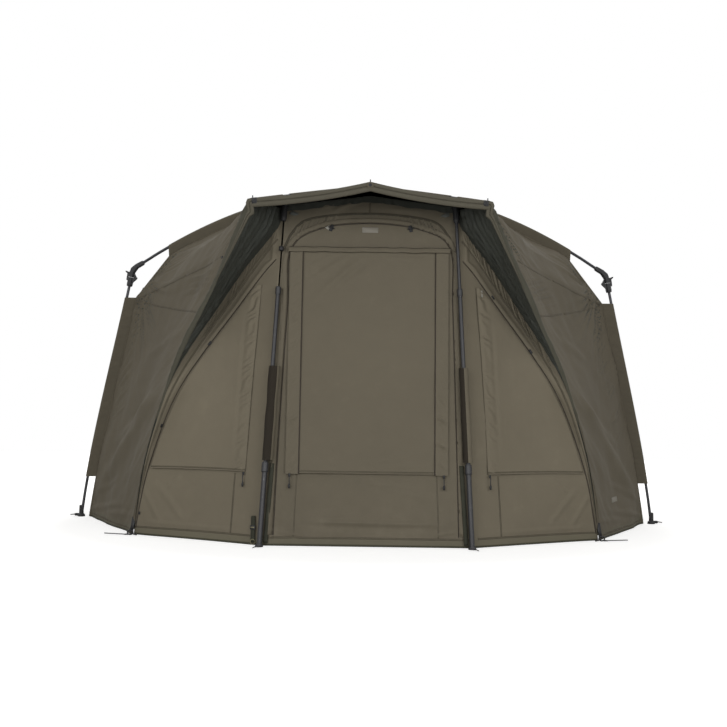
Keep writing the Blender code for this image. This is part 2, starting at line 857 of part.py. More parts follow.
def corner_line(side, t):
    rib = "corner_right" if side > 0 else "corner_left"
    tip = rib_cloth(rib, 1.0, RIBS[rib][1], PEAK_DROP)
    if t < EDGE_SHARE:
        return rib_cloth(rib, t / EDGE_SHARE, RIBS[rib][1], PEAK_DROP)
    s = (t - EDGE_SHARE) / (1 - EDGE_SHARE)
    edge = front_edge(side, s)
    lift = (tip - front_edge(side, 0.0)) * max(0.0, 1 - s * 4)
    return edge + lift


def legged_line(rib, t):
    """Under the rib, straight across the elbow's notch, and down inside the leg."""
    kind = rib.split("_")[0]
    azimuth = RIBS[rib][0]
    sleeve_end = rib_cloth(rib, 1.0, SLEEVE_END_REACH[kind], FIN_WIDTH)
    top = LEG_SLEEVE_TOP[kind]
    sleeve_top = spot(azimuth, leg_reach(rib, top) - INSET_TOP, top)
    if t < RIB_SHARE:
        return rib_cloth(rib, t / RIB_SHARE, SLEEVE_END_REACH[kind], FIN_WIDTH)
    if t < SLEEVE_TOP:
        return sleeve_end.lerp(sleeve_top, (t - RIB_SHARE) / (SLEEVE_TOP - RIB_SHARE))
    s = (t - SLEEVE_TOP) / (1 - SLEEVE_TOP)
    height = top * (1 - s) + GROUND_GAP * s
    inset = INSET_TOP + (INSET_FOOT - INSET_TOP) * s
    return spot(azimuth, leg_reach(rib, height) - inset, height)


def inward(point):
    return (Vector((0.0, HUB_DEPTH, 0.55)) - point).normalized()


def hung(line_a, line_b, sag, fold, sleeve=None):
    """A cloth between two lines, drawn in a little at its middle, with its main folds.

    Past u = 1 it turns out into the sleeve that ties it to the frame.
    """

    def surface(u, t):
        a, b = line_a(t), line_b(t)
        width = (b - a).length
        trim = SEAM_GAP / max(width, 0.02)
        w = trim + (1 - 2 * trim) * min(u, 1.0)
        point = a.lerp(b, w)
        hollow = sag * 4 * w * (1 - w) * min(1.0, width / 0.5) * math.sin(math.pi * min(1.0, t) ** 0.8)
        depth = max(hollow, 0.0) + fold(w, t)
        if point.z > 0.02:
            point = point + inward(point) * depth
        point.z = max(point.z, GROUND_GAP)
        return sleeve(t, point) if u > 1.0 else point

    return surface


def elbow_folds(w, t):
    """Tension folds that fan out of the leg sleeve's top, dying away across the cloth."""
    near = math.exp(-(((t - 0.56) / 0.10) ** 2)) * w**2 * (1 - w) * 4
    return 0.006 * near * math.sin(34.0 * (t - 0.5) + 5.0 * w)


def no_folds(w, t):
    return 0.0


SLEEVE_FOOT = 0.180
SLEEVE_START = 0.10
SLEEVE_CUT = 0.004


def sleeve_rows(rib):
    """Places along a legged line, with a pair of rows at each end of a sleeve."""
    kind = rib.split("_")[0]
    top = LEG_SLEEVE_TOP[kind]
    foot_end = SLEEVE_TOP + (1 - SLEEVE_TOP) * (top - SLEEVE_FOOT) / (top - GROUND_GAP)
    roof_step = (RIB_SHARE - SLEEVE_START) / 4
    upper = [0.0, 0.035, SLEEVE_START - SLEEVE_CUT] + [SLEEVE_START + roof_step * k for k in range(5)]
    middle = [RIB_SHARE + SLEEVE_CUT, 0.46, SLEEVE_TOP - SLEEVE_CUT]
    lower = [SLEEVE_TOP + (foot_end - SLEEVE_TOP) * k / 7 for k in range(8)]
    return upper + middle + lower + [foot_end + SLEEVE_CUT, 0.96, 1.0]


def sleeve_at(rib):
    """The sleeve's outer edge: along the rib's underside or the leg's inner side, else the seam."""
    kind = rib.split("_")[0]
    azimuth = RIBS[rib][0]
    rows = sleeve_rows(rib)
    foot_end = rows[-3] - SLEEVE_CUT / 2
    roof_end = RIB_SHARE + SLEEVE_CUT / 2

    def edge(t, seam):
        if SLEEVE_START - SLEEVE_CUT / 2 <= t <= roof_end:
            reach = SLEEVE_END_REACH[kind] * t / RIB_SHARE + 0.010 * (t / RIB_SHARE) ** 4
            return spot(azimuth, reach, rib_height(rib, reach) - RIB_TUBE - 0.0018)
        if SLEEVE_TOP - SLEEVE_CUT / 2 <= t <= foot_end:
            return spot(azimuth, leg_reach(rib, seam.z) - LEG_TUBE - 0.0018, seam.z)
        return seam + (spot(azimuth, 1.4, seam.z) - seam).normalized() * 0.0022

    return edge


def canopy():
    for side, word in ((-1, "left"), (1, "right")):
        side_rib, rear_rib = f"side_{word}", f"rear_{word}"

        def side_line(t, rib=side_rib):
            return legged_line(rib, t)

        def rear_line(t, rib=rear_rib):
            return legged_line(rib, t)

        def corner(t, side=side):
            return corner_line(side, t)

        side_cloth = hung(corner, side_line, SAG_WALL, elbow_folds, sleeve_at(side_rib))
        side_sheet = cut(sheet(side_cloth, even(9) + [1.1], rows_of(side_rib)), pole_head_hole(side))
        keep(side_sheet, f"canopy_side_{word}", "canopy_cloth")
        quarter = hung(side_line, rear_line, SAG_ROOF, elbow_folds, sleeve_at(rear_rib))
        keep(sheet(quarter, even(6) + [1.1], rows_of(rear_rib)), f"canopy_quarter_{word}", "canopy_cloth")

    def rear_left(t):
        return legged_line("rear_left", t)

    def rear_right(t):
        return legged_line("rear_right", t)

    rear = hung(rear_left, rear_right, SAG_WALL, no_folds)
    keep(sheet(rear, even(7), [FIRST_ROW + (1 - FIRST_ROW) * v for v in even(15)]), "canopy_rear", "canopy_cloth")
    peak = cut(sheet(peak_surface, even(8), even(5)), pole_head_hole(-1), pole_head_hole(1))
    keep(peak, "canopy_peak", "canopy_cloth")


def pole_head_hole(side):
    """The opening in the corner seam through which the rib's lug reaches the storm pole."""
    middle = spot(side * CORNER_AZIMUTH, POLE_HEAD_REACH, POLE_PIVOT_HEIGHT)
    turn = Matrix.Rotation(math.radians(side * CORNER_AZIMUTH), 4, "Z")
    return block(Vector((0.034, 0.030, 0.040)), Matrix.Translation(middle) @ turn)


FIRST_ROW = 0.022
PEAK_START = 0.05


def rows_of(rib):
    """The rows of a sleeved cloth, which start just off the apex."""
    return [max(t, FIRST_ROW) for t in sleeve_rows(rib)]


def peak_surface(u, v):
    """The roof over the entrance: two gores that meet at the centre rib."""
    v = PEAK_START + (1 - PEAK_START) * v
    middle = rib_cloth("centre", v, RIBS["centre"][1], PEAK_DROP)
    side = "corner_left" if u < 0.5 else "corner_right"
    outer = rib_cloth(side, v, RIBS[side][1], PEAK_DROP)
    trim = SEAM_GAP / max((outer - middle).length, 0.02)
    w = abs(u - 0.5) * 2 * (1 - trim)
    sag = 0.010 * 4 * w * (1 - w) * v
    return middle.lerp(outer, w) - Vector((0, 0, sag))


HEM_WIDTH = 0.046
LIP_END = 0.62
HEM_FORWARD = 0.0040


def hem_path(v):
    """The front edge from the left lip's lower end, over the peak, to the right lip's lower end."""
    if v < 1 / 3:
        return corner_line(-1, EDGE_SHARE + (1 - EDGE_SHARE) * LIP_END * (1 - 3 * v))
    if v > 2 / 3:
        return corner_line(1, EDGE_SHARE + (1 - EDGE_SHARE) * LIP_END * (3 * v - 2))
    return peak_surface(3 * v - 1, 1.0)


def peak_hem():
    """One turned band: the rolled hem across the peak, and the lips down its two sides."""

    def band(u, v):
        here = hem_path(v)
        before, after = hem_path(max(0.0, v - 0.004)), hem_path(min(1.0, v + 0.004))
        into, out = (here - before).normalized(), (after - here).normalized()
        if v <= 0.0:
            into = out
        if v >= 1.0:
            out = into
        way = (into + out).normalized()
        across = Vector((way.z, 0.0, -way.x)).normalized()
        mitre = 1.0 / max(0.6, across.dot(Vector((into.z, 0.0, -into.x)).normalized()))
        taper = min(1.0, 5.4 * min(v, 1 - v)) if abs(v - 0.5) > 1 / 6 else 1.0
        width = (HEM_WIDTH * taper + 0.003) * mitre
        roll = 0.005 * math.sin(math.pi * u)
        return here + across * (width * u + 0.0015) + Vector((0.0, -HEM_FORWARD - roll, 0.0))

    places = [k / 24 for k in range(25)]
    keep(sheet(band, even(2), places), "peak_hem", "canopy_cloth")


def facet_point(side, reach, height, forward=0.0):
    """A point of the side panel: its plane runs out and back from the storm pole."""
    inner = POLE_FOOT_X - POLE_LEAN_IN * height
    depth = FRONT_FOOT_DEPTH + FRONT_LEAN * height + SIDE_FACET_SLOPE * (reach - inner)
    return Vector((side * reach, depth - forward, max(height, GROUND_GAP)))


def door_point(x, height, forward=0.0):
    return Vector((x, FRONT_FOOT_DEPTH + FRONT_LEAN * height - forward, max(height, GROUND_GAP)))


DOOR_TOP = 1.338
DOOR_CORNER_TOP = 1.296
SIDE_PANEL_TOP = 1.278
WINDOW_BOTTOM = 0.270
WINDOW_TOP = 1.120
DOOR_WINDOW_HALF = 0.305
SIDE_WINDOW_INNER = 0.456
SIDE_WINDOW_OUTLINE = ((0.862, 0.270), (0.770, 0.520), (0.630, 0.720), (0.500, 0.880), (0.456, 0.930))
COVER = 0.0014
# The flap is thinner than the panel, so that its inner edge stays inside the panel
FLAP = 0.0012


def pole_x(height):
    return POLE_FOOT_X - POLE_LEAN_IN * height


def slab(corners, thickness):
    """A flat plate through corners that lie in one plane, turned by its first, second and last."""
    origin = corners[0]
    along = (corners[1] - origin).normalized()
    normal = along.cross(corners[-1] - origin).normalized()
    upward = normal.cross(along)
    place = Matrix((along, upward, normal)).transposed().to_4x4()
    place.translation = origin
    flat = [((p - origin).dot(along), (p - origin).dot(upward)) for p in corners]
    return plate(flat, thickness, place)


def front():
    foot, shoulder = GROUND_GAP, DOOR_CORNER_TOP
    half_foot, half_top = pole_x(foot) - 0.003, pole_x(shoulder) - 0.003
    door = [
        door_point(-half_foot, foot),
        door_point(half_foot, foot),
        door_point(half_top, shoulder),
        door_point(0.0, DOOR_TOP),
        door_point(-half_top, shoulder),
    ]
    keep(slab(door, CLOTH), "door_panel", "canopy_cloth")
    half = DOOR_WINDOW_HALF
    forward = CLOTH / 2 + COVER / 2 + GAP
    cover = [
        door_point(x, z, forward)
        for x, z in ((-half, WINDOW_BOTTOM), (half, WINDOW_BOTTOM), (half, WINDOW_TOP), (-half, WINDOW_TOP))
    ]
    keep(slab(cover, COVER), "door_window_cover", "canopy_cloth")
    for side, word in ((-1, "left"), (1, "right")):
        outer = [smooth(BORDER, k / 12) for k in range(13)]
        panel = [facet_point(side, pole_x(foot) + 0.003, foot)]
        panel += [facet_point(side, p.x - 0.004, max(p.y, foot)) for p in outer]
        panel.append(facet_point(side, pole_x(SIDE_PANEL_TOP) + 0.003, SIDE_PANEL_TOP))
        window = [facet_point(side, SIDE_WINDOW_INNER, WINDOW_BOTTOM, 0.0012)]
        window += [
            facet_point(side, *smooth(SIDE_WINDOW_OUTLINE, k / 6), 0.0012) for k in range(7)
        ]
        raised = slab(window, 0.0020)
        flap = sheet(reveal(side), even(2), even(9), FLAP)
        keep(fused(slab(panel, CLOTH), raised, flap), f"side_panel_{word}", "canopy_cloth")


REVEAL_TOP = 1.04
REVEAL_FOOT = 0.10


def at_height(points, height):
    """The reach at a height of a smooth line of (reach, height) points."""
    low, high = 0.0, 1.0
    rising = points[-1][1] > points[0][1]
    for _ in range(30):
        middle = (low + high) / 2
        if (smooth(points, middle).y < height) == rising:
            low = middle
        else:
            high = middle
    return smooth(points, low).x


def reveal(side):
    """The dark flap from the side panel's border forward to the canopy's front edge."""

    def surface(u, v):
        height = REVEAL_FOOT + (REVEAL_TOP - REVEAL_FOOT) * v
        border = facet_point(side, at_height(BORDER, height) - 0.007, height)
        reach = at_height(FRONT_EDGE, height)
        depth = CORNER_PEG.y * (1 - height / FRONT_EDGE[-1][1])
        edge = Vector((side * (reach - 0.006), depth + 0.006, height))
        return border.lerp(edge, u)

    return surface


ZIP_WIDTH = 0.009
ZIP = 0.0020
ARCH_HALF = 0.345
ARCH_FOOT = 0.040
ARCH_SHOULDER = 1.050
ARCH_TOP = 1.229


def arch_point(t):
    """The door's zip: up one side, over a flat arch and down the other, with t from 0 to 1."""
    points = (
        (-0.346, ARCH_FOOT),
        (-0.335, 0.46),
        (-0.322, 0.90),
        (-0.312, 1.130),
        (-0.201, 1.205),
        (0.0, ARCH_TOP),
        (0.201, 1.205),
        (0.312, 1.130),
        (0.322, 0.90),
        (0.335, 0.46),
        (0.346, ARCH_FOOT),
    )
    return smooth(points, t)


def strip(line, normal_shift, width=ZIP_WIDTH):
    """A flat tape along a line of (x, height) pairs, lying on the front."""

    def surface(u, v):
        here, ahead = line(v), line(min(1.0, v + 0.01))
        if v > 0.985:
            here, ahead = line(v), line(v) * 2 - line(v - 0.01)
        way = (ahead - here).normalized()
        across = Vector((-way.y, way.x)) * width * (u - 0.5)
        flat = here + across
        return normal_shift(flat.x, flat.y)

    return surface


def zips():
    def on_door(x, z):
        return door_point(x, z, 0.0042)

    keep(sheet(strip(arch_point, on_door), even(1), even(28), ZIP), "door_zip", "zip_tape")
    for side, word in ((-1, "left"), (1, "right")):

        def on_side(x, z, side=side):
            return facet_point(side, x, z, 0.0062)

        def side_line(v):
            return smooth(SIDE_ZIP, v)

        keep(sheet(strip(side_line, on_side), even(1), even(15), ZIP), f"side_zip_{word}", "zip_tape")


SLIDER_HEIGHT = 0.262
SLIDER_WIDTH = 0.008
SLIDER_FORWARD = 0.0075


def slider(word, place):
    """A zip slider and its hanging pull, as an outline seen from the side."""
    outline = (
        (0.003, 0.007),
        (-0.003, 0.007),
        (-0.005, 0.003),
        (-0.005, -0.006),
        (-0.0045, -0.040),
        (-0.0070, -0.044),
        (-0.0070, -0.050),
        (-0.0025, -0.050),
        (-0.0020, -0.008),
        (0.003, -0.006),
    )
    keep(plate(outline, SLIDER_WIDTH, place), f"slider_{word}", "moulding")


def sliders():
    # outlines are drawn with X backward and Y up, so their plane stands across the panel
    stand = Matrix(((0, 0, 1), (1, 0, 0), (0, 1, 0))).to_4x4()
    lean = Matrix.Rotation(-math.atan(FRONT_LEAN), 4, "X")
    for side, word in ((-1, "left"), (1, "right")):
        spot_on_door = door_point(side * 0.290, SLIDER_HEIGHT, SLIDER_FORWARD)
        slider(f"door_{word}", Matrix.Translation(spot_on_door) @ lean @ stand)
        turn = Matrix.Rotation(side * math.atan(SIDE_FACET_SLOPE), 4, "Z")
        spot_on_side = facet_point(side, 0.464, SLIDER_HEIGHT, SLIDER_FORWARD + 0.002)
        slider(f"side_{word}", Matrix.Translation(spot_on_side) @ turn @ lean @ stand)


def corner_pegs():
    """A ring sewn to each front corner of the canopy, with a peg that hooks it to the ground."""
    for side, word in ((-1, "left"), (1, "right")):
        middle = Vector((side * (CORNER_PEG.x + 0.020), CORNER_PEG.y - 0.014, 0.0030))
        ring = torus(middle, Vector((0, 0, 1)), 0.0125, 0.0016)
        start = middle + Vector((side * 0.0080, -0.003, 0.0006))
        end = start + Vector((side * 0.080, -0.006, 0.0040))
        keep(fused(ring, cylinder(start, end, 0.0021)), f"corner_peg_{word}", "peg_steel")


hub()
ribs()
elbows()
legs()
storm_poles()
canopy()
peak_hem()
front()
zips()
sliders()
corner_pegs()

bpy.context.view_layer.update()
print("pieces:", len([o for o in SHELTER.objects if o.type == "MESH"]))
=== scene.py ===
# %% [markdown]
# # Dressing a fishing brolly shelter
#
# A brolly shelter is an umbrella grown into a small tent. Seven ribs fold out from one hub, four of them
# end in jointed legs, and two storm poles carry the front. That frame was modelled first, at its real
# size, with every hinge in its place. This lesson loads it as it stands and gives it what the camera
# sees: sewn cloth with its folds, zips, seams and hems, and a finish for every tube and moulding.

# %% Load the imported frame
import json
import math
from functools import partial

import bpy
import numpy as np
from mathutils import Matrix, Vector
from mathutils.bvhtree import BVHTree


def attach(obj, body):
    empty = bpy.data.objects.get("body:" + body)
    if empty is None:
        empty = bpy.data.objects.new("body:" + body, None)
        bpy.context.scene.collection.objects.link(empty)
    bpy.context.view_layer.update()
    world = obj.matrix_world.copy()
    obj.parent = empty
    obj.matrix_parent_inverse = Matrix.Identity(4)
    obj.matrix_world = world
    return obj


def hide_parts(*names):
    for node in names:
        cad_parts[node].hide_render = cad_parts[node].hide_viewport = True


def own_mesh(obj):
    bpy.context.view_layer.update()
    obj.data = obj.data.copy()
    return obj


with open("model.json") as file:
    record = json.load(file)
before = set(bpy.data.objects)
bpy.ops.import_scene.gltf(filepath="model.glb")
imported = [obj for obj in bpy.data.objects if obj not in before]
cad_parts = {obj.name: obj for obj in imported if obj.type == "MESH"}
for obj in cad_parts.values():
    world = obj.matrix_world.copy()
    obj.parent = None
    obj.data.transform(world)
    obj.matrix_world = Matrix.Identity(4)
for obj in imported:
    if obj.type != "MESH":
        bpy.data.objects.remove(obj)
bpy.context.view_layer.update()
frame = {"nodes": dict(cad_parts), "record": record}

# %% [markdown]
# ## Where things are
#
# A cloth has to be sewn to the frame and not near it, so every seam is written as a line that follows a
# rib, a leg or a pole. The hub, the ribs' compass angles and the storm poles' feet are read from the
# frame's own joints and mounts. The curves of the ribs and legs are the frame's driving dimensions,
# repeated here.

# %% Read the hub and the feet from the frame
JOINTS = {joint["name"]: joint for joint in frame["record"]["behaviour"]["joints"]}
MOUNTS = {mount["name"]: mount["pos_m"] for mount in frame["record"]["mounts"]}
HINGE_RADIUS = 0.060
HINGE_HEIGHT = JOINTS["centre_rib_hinge"]["pos_m"][2]
HUB = np.array([0.0, JOINTS["centre_rib_hinge"]["pos_m"][1] + HINGE_RADIUS, 0.0])
POLE_FOOT_X, FRONT_LINE, _ = MOUNTS["storm_pole_right_base"]
print("hub at", HUB.round(4), "and storm poles on the line y =", FRONT_LINE)


# %% Curves of the ribs and legs
def azimuth_of(rib):
    """Compass angle of a rib, with 0 at the front and +90 at the right, from its hinge's axis."""
    hinge = "centre_rib" if rib == "centre" else rib.replace("_", "_rib_")
    across = JOINTS[f"{hinge}_hinge"]["axis"]
    return math.atan2(-across[1], -across[0])


# Reach, height of the end, and slope as the rib leaves the hub
RIBS = {
    "centre": (0.800, 1.340, 0.120),
    "corner_left": (0.8716, 1.283, 0.195),
    "corner_right": (0.8716, 1.283, 0.195),
    "side_left": (1.070, 1.105, 0.020),
    "side_right": (1.070, 1.105, 0.020),
    "rear_left": (1.098, 1.060, 0.090),
    "rear_right": (1.098, 1.060, 0.090),
}
AZIMUTH = {rib: azimuth_of(rib) for rib in RIBS}
LEGGED = ("side_left", "side_right", "rear_left", "rear_right")
LEG_SPLAY, LEG_BOW = 0.223, 0.080
SIDES = (("left", -1), ("right", 1))
print("rib angles:", {rib: round(math.degrees(turn), 1) for rib, turn in AZIMUTH.items()})


# %% Points on the frame
def outward(rib):
    """Level direction from the hub along a rib."""
    return np.array([math.sin(AZIMUTH[rib]), -math.cos(AZIMUTH[rib]), 0.0])


def crosswise(rib):
    """Level direction square to a rib."""
    return np.array([math.cos(AZIMUTH[rib]), math.sin(AZIMUTH[rib]), 0.0])


def unit(ways):
    """The same directions, each with a length of one."""
    return ways / np.linalg.norm(ways, axis=-1, keepdims=True)


def spot(rib, reach, height):
    """Points in a rib's upright plane, at a reach from the hub's axis and a height."""
    reach, height = np.broadcast_arrays(np.asarray(reach, float), np.asarray(height, float))
    place = HUB + reach[..., None] * outward(rib)
    place[..., 2] = height
    return place


def rib_height(rib, reach):
    end, end_height, slope = RIBS[rib]
    run = end - HINGE_RADIUS
    bend = (HINGE_HEIGHT - end_height - slope * run) / run**2
    along = reach - HINGE_RADIUS
    return HINGE_HEIGHT - slope * along - bend * along**2


def leg_reach(rib, height):
    end, end_height, _ = RIBS[rib]
    down = 1 - height / end_height
    return end + LEG_SPLAY * down + LEG_BOW * down**2 * (1 - down)


def smooth(points, t):
    """Points on the smooth curve through points, for t from 0 to 1 over its whole run."""
    points = np.asarray(points, float)
    last = len(points) - 1
    place = np.clip(np.asarray(t, float), 0.0, 1.0) * last
    k = np.minimum(place.astype(int), last - 1)
    w = (place - k)[..., None]
    b, c = points[k], points[k + 1]
    a = np.where((k > 0)[..., None], points[np.maximum(k - 1, 0)], 2 * b - c)
    d = np.where((k + 2 <= last)[..., None], points[np.minimum(k + 2, last)], 2 * c - b)
    return 0.5 * (2 * b + (c - a) * w + (2 * a - 5 * b + 4 * c - d) * w**2 + (3 * b - a - 3 * c + d) * w**3)


def reach_at(points, height):
    """The reach, at each height, of a smooth line of (reach, height) points."""
    line = smooth(points, np.linspace(0, 1, 400))
    order = np.argsort(line[:, 1])
    return np.interp(height, line[order, 1], line[order, 0])


# %% [markdown]
# ## The seams that the cloth hangs from
#
# The canopy touches the frame only along its seams. At a side or rear rib the seam hangs a hand's width
# below the tube, because a sleeve joins the two, and it cuts straight across the elbow so that the elbow
# stays free. At the front the cloth ends in a free edge that runs from the corner rib's tip down to a
# ground peg.

# %% Seams under the ribs and inside the legs
CLOTH_APEX = 1.408
HUB_DROP, PEAK_DROP, SLEEVE_DEEP = 0.020, 0.0125, 0.041
FLAT_ROUND_HUB = 0.085
GROUND_GAP = 0.0015
RIB_SHARE, EDGE_SHARE, LEG_SHARE = 0.42, 0.45, 0.50
SLEEVE_END = {"side": 0.9026, "rear": 0.935}
LEG_SLEEVE_TOP = {"side": 0.980, "rear": 0.936}
INSET_TOP, INSET_FOOT = 0.043, 0.036
CORNER_PEG_DEPTH = 0.32
# Front edge of the canopy, as (reach, height) from the ground to the corner rib's tip
FRONT_EDGE = ((0.922, 0.0), (0.866, 0.30), (0.756, 0.624), (0.571, 1.0), (0.444, 1.283))


def under_rib(rib, v, end_reach, end_drop):
    """The seam under a rib, from the apex at 0 out to end_reach at 1."""
    v = np.asarray(v, float)
    reach = v * end_reach
    under = rib_height(rib, np.maximum(reach, FLAT_ROUND_HUB)) - HUB_DROP - (end_drop - HUB_DROP) * v
    to_apex = CLOTH_APEX + (under - CLOTH_APEX) * reach / FLAT_ROUND_HUB
    return spot(rib, reach, np.where(reach < FLAT_ROUND_HUB, to_apex, under))


def edge_depth(height):
    """How far the canopy's front edge stands behind the front line, at a height."""
    return CORNER_PEG_DEPTH * (1 - height / FRONT_EDGE[-1][1])


def front_edge(side, s):
    """The canopy's front edge, from the corner tip at 0 to the ground peg at 1."""
    line = smooth(FRONT_EDGE[::-1], s)
    height = np.maximum(line[..., 1], GROUND_GAP)
    return np.stack([side * line[..., 0], FRONT_LINE + edge_depth(line[..., 1]), height], axis=-1)


def corner_seam(side, t):
    """Under the corner rib to its tip, then down the front edge."""
    t = np.asarray(t, float)
    rib = "corner_right" if side > 0 else "corner_left"
    tip = under_rib(rib, 1.0, RIBS[rib][0], PEAK_DROP)
    s = np.clip((t - EDGE_SHARE) / (1 - EDGE_SHARE), 0.0, 1.0)
    edge = front_edge(side, s) + (tip - front_edge(side, 0.0)) * np.maximum(0.0, 1 - 4 * s)[..., None]
    roof = under_rib(rib, np.minimum(t / EDGE_SHARE, 1.0), RIBS[rib][0], PEAK_DROP)
    return np.where((t < EDGE_SHARE)[..., None], roof, edge)


def leg_seam(rib, s):
    """Inside a leg, from its sleeve's top at 0 to the ground at 1."""
    top = LEG_SLEEVE_TOP[rib.split("_")[0]]
    height = top * (1 - s) + GROUND_GAP * s
    return spot(rib, leg_reach(rib, height) - INSET_TOP - (INSET_FOOT - INSET_TOP) * s, height)


def legged_seam(rib, t):
    """Under a rib, straight across the elbow, and down inside the leg."""
    t = np.asarray(t, float)[..., None]
    end = SLEEVE_END[rib.split("_")[0]]
    roof = under_rib(rib, np.minimum(t[..., 0] / RIB_SHARE, 1.0), end, SLEEVE_DEEP)
    notch_start, notch_end = under_rib(rib, 1.0, end, SLEEVE_DEEP), leg_seam(rib, np.float64(0.0))
    notch = notch_start + (notch_end - notch_start) * (t - RIB_SHARE) / (LEG_SHARE - RIB_SHARE)
    leg = leg_seam(rib, np.clip((t[..., 0] - LEG_SHARE) / (1 - LEG_SHARE), 0.0, 1.0))
    return np.where(t < RIB_SHARE, roof, np.where(t < LEG_SHARE, notch, leg))


print("right side seam ends at", legged_seam("side_right", 1.0).round(3))

# %% [markdown]
# ## Folds in cloth
#
# Cloth that hangs between seams is never flat. Three kinds of fold make most of what the eye reads as
# fabric: a crease pulled tight between two points, gathers that run square out of a seam and die away,
# and a slow rumple all over. Each is a height in metres that pushes the cloth along its own normal. A
# simulation could find such folds, but it would find different ones, and here they have to lie where the
# real shelter has them.


# %% Three kinds of fold
def crease(here, start, end, high, wide):
    """A fold along a line: a ridge with a hollow on each side, which fades out at both ends."""
    start, run = np.asarray(start, float), np.subtract(end, start)
    length = np.linalg.norm(run)
    offset = here - start
    along = (offset @ run) / length**2
    across = (offset[..., 0] * run[1] - offset[..., 1] * run[0]) / (length * wide)
    ends = np.clip(along * 4, 0, 1) * np.clip((1 - along) * 4, 0, 1)
    return high * ends * (1 - 1.2 * across**2) * np.exp(-(across**2))


def with_creases(height, here, creases):
    """A height with several creases added to it."""
    for fold in creases:
        height = height + crease(here, *fold)
    return height


def wobble(s, seed, waves=5):
    """A repeatable uneven curve of s, about -1 to 1, whose wiggles are about one unit of s long."""
    chance = np.random.default_rng(seed)
    total = np.zeros_like(s)
    for _ in range(waves):
        total += np.sin(s * chance.uniform(2.2, 8.5) + chance.uniform(0, math.tau))
    return total / math.sqrt(waves * 2)


def hump(x, middle, wide):
    """A smooth hump, one high at its middle."""
    return np.exp(-(((x - middle) / wide) ** 2))


def gathers(along, away, pitch, high, reach, seed):
    """Puckers square to a seam: along and away are the distances along it and from it."""
    return high * wobble(along / pitch, seed) * np.exp(-np.abs(away) / reach)


def rumple(here, size, high, seed, waves=7):
    """A slow unevenness over the whole cloth, from waves that cross at all angles."""
    chance = np.random.default_rng(seed)
    total = np.zeros(here.shape[:-1])
    for _ in range(waves):
        turn = chance.uniform(0, math.tau)
        step = chance.uniform(0.7, 1.5) * size
        way = np.array([math.cos(turn), math.sin(turn)]) * math.tau / step
        total += np.sin(here @ way + chance.uniform(0, math.tau))
    return high * total / math.sqrt(waves)


# %% [markdown]
# ## Making a cloth
#
# A sewn panel is a grid of points. A good cloth mesh has two faces a millimetre apart, because the real
# one is coated cloth with a dark lining, and each face needs its own finish. The grid is worked out whole
# and then cut into pieces that ride on different parts of the frame. Every piece keeps the normals of the
# whole panel, so the cuts don't show, and a UV map in metres, so that weave and stitches come out at
# their true size.

# %% A panel and its pieces
CLOTH = 0.0009


def length_along(points, axis):
    """Distance from the first point to each other one, along one direction of a grid."""
    hops = np.linalg.norm(np.diff(points, axis=axis), axis=-1)
    total = np.cumsum(hops, axis=axis)
    first = np.zeros_like(np.take(total, [0], axis=axis))
    return np.concatenate([first, total], axis=axis)


class Panel:
    """A grid of points with its normals and its distances in metres: rows go down, columns go across."""

    def __init__(self, points, facing):
        self.points = points
        down, across = np.gradient(points, axis=0), np.gradient(points, axis=1)
        normal = np.cross(across, down)
        size = np.linalg.norm(normal, axis=-1, keepdims=True)
        self.normals = normal / np.maximum(size, 1e-12)
        middle = self.normals[points.shape[0] // 2, points.shape[1] // 2]
        if middle @ np.asarray(facing, float) < 0:
            self.normals *= -1
        self.flat = np.stack([length_along(points, 1), length_along(points, 0)], axis=-1)

    def pushed(self, height, facing):
        """The same panel with each point moved along its normal."""
        return Panel(self.points + self.normals * height[..., None], facing)

    def size(self, rows=slice(None), columns=slice(None)):
        """Width, length and area of a part of the panel, laid flat."""
        points = self.points[rows, columns]
        hop_down, hop_across = np.diff(points, axis=0)[:, :-1], np.diff(points, axis=1)[:-1]
        area = np.linalg.norm(np.cross(hop_down, hop_across), axis=-1).sum()
        width = np.linalg.norm(np.diff(points, axis=1), axis=-1).sum(axis=1).max()
        length = np.linalg.norm(np.diff(points, axis=0), axis=-1).sum(axis=0).max()
        return float(width), float(length), float(area)


# %% From a panel to a mesh
def new_mesh(name, points, faces, uvs, slots, normals=None):
    """A mesh object from points and faces, with uvs by point and a material slot for each face."""
    mesh = bpy.data.meshes.new(name)
    mesh.from_pydata(points, [], faces)
    mesh.update()
    layer = mesh.uv_layers.new(name="cloth_metres")
    corner_points = np.empty(len(mesh.loops), np.int32)
    mesh.loops.foreach_get("vertex_index", corner_points)
    layer.data.foreach_set("uv", np.asarray(uvs, np.float32)[corner_points].ravel())
    mesh.polygons.foreach_set("material_index", np.asarray(slots, np.int32))
    mesh.shade_smooth()
    if normals is not None:
        mesh.normals_split_custom_set_from_vertices(normals)
    made = bpy.data.objects.new(name, mesh)
    bpy.context.scene.collection.objects.link(made)
    return made


def grid_quads(tall, wide):
    """The corners of each face of a grid of points, by their numbers."""
    index = np.arange(tall * wide).reshape(tall, wide)
    return np.stack([index[:-1, :-1], index[:-1, 1:], index[1:, 1:], index[1:, :-1]], axis=-1).reshape(-1, 4)


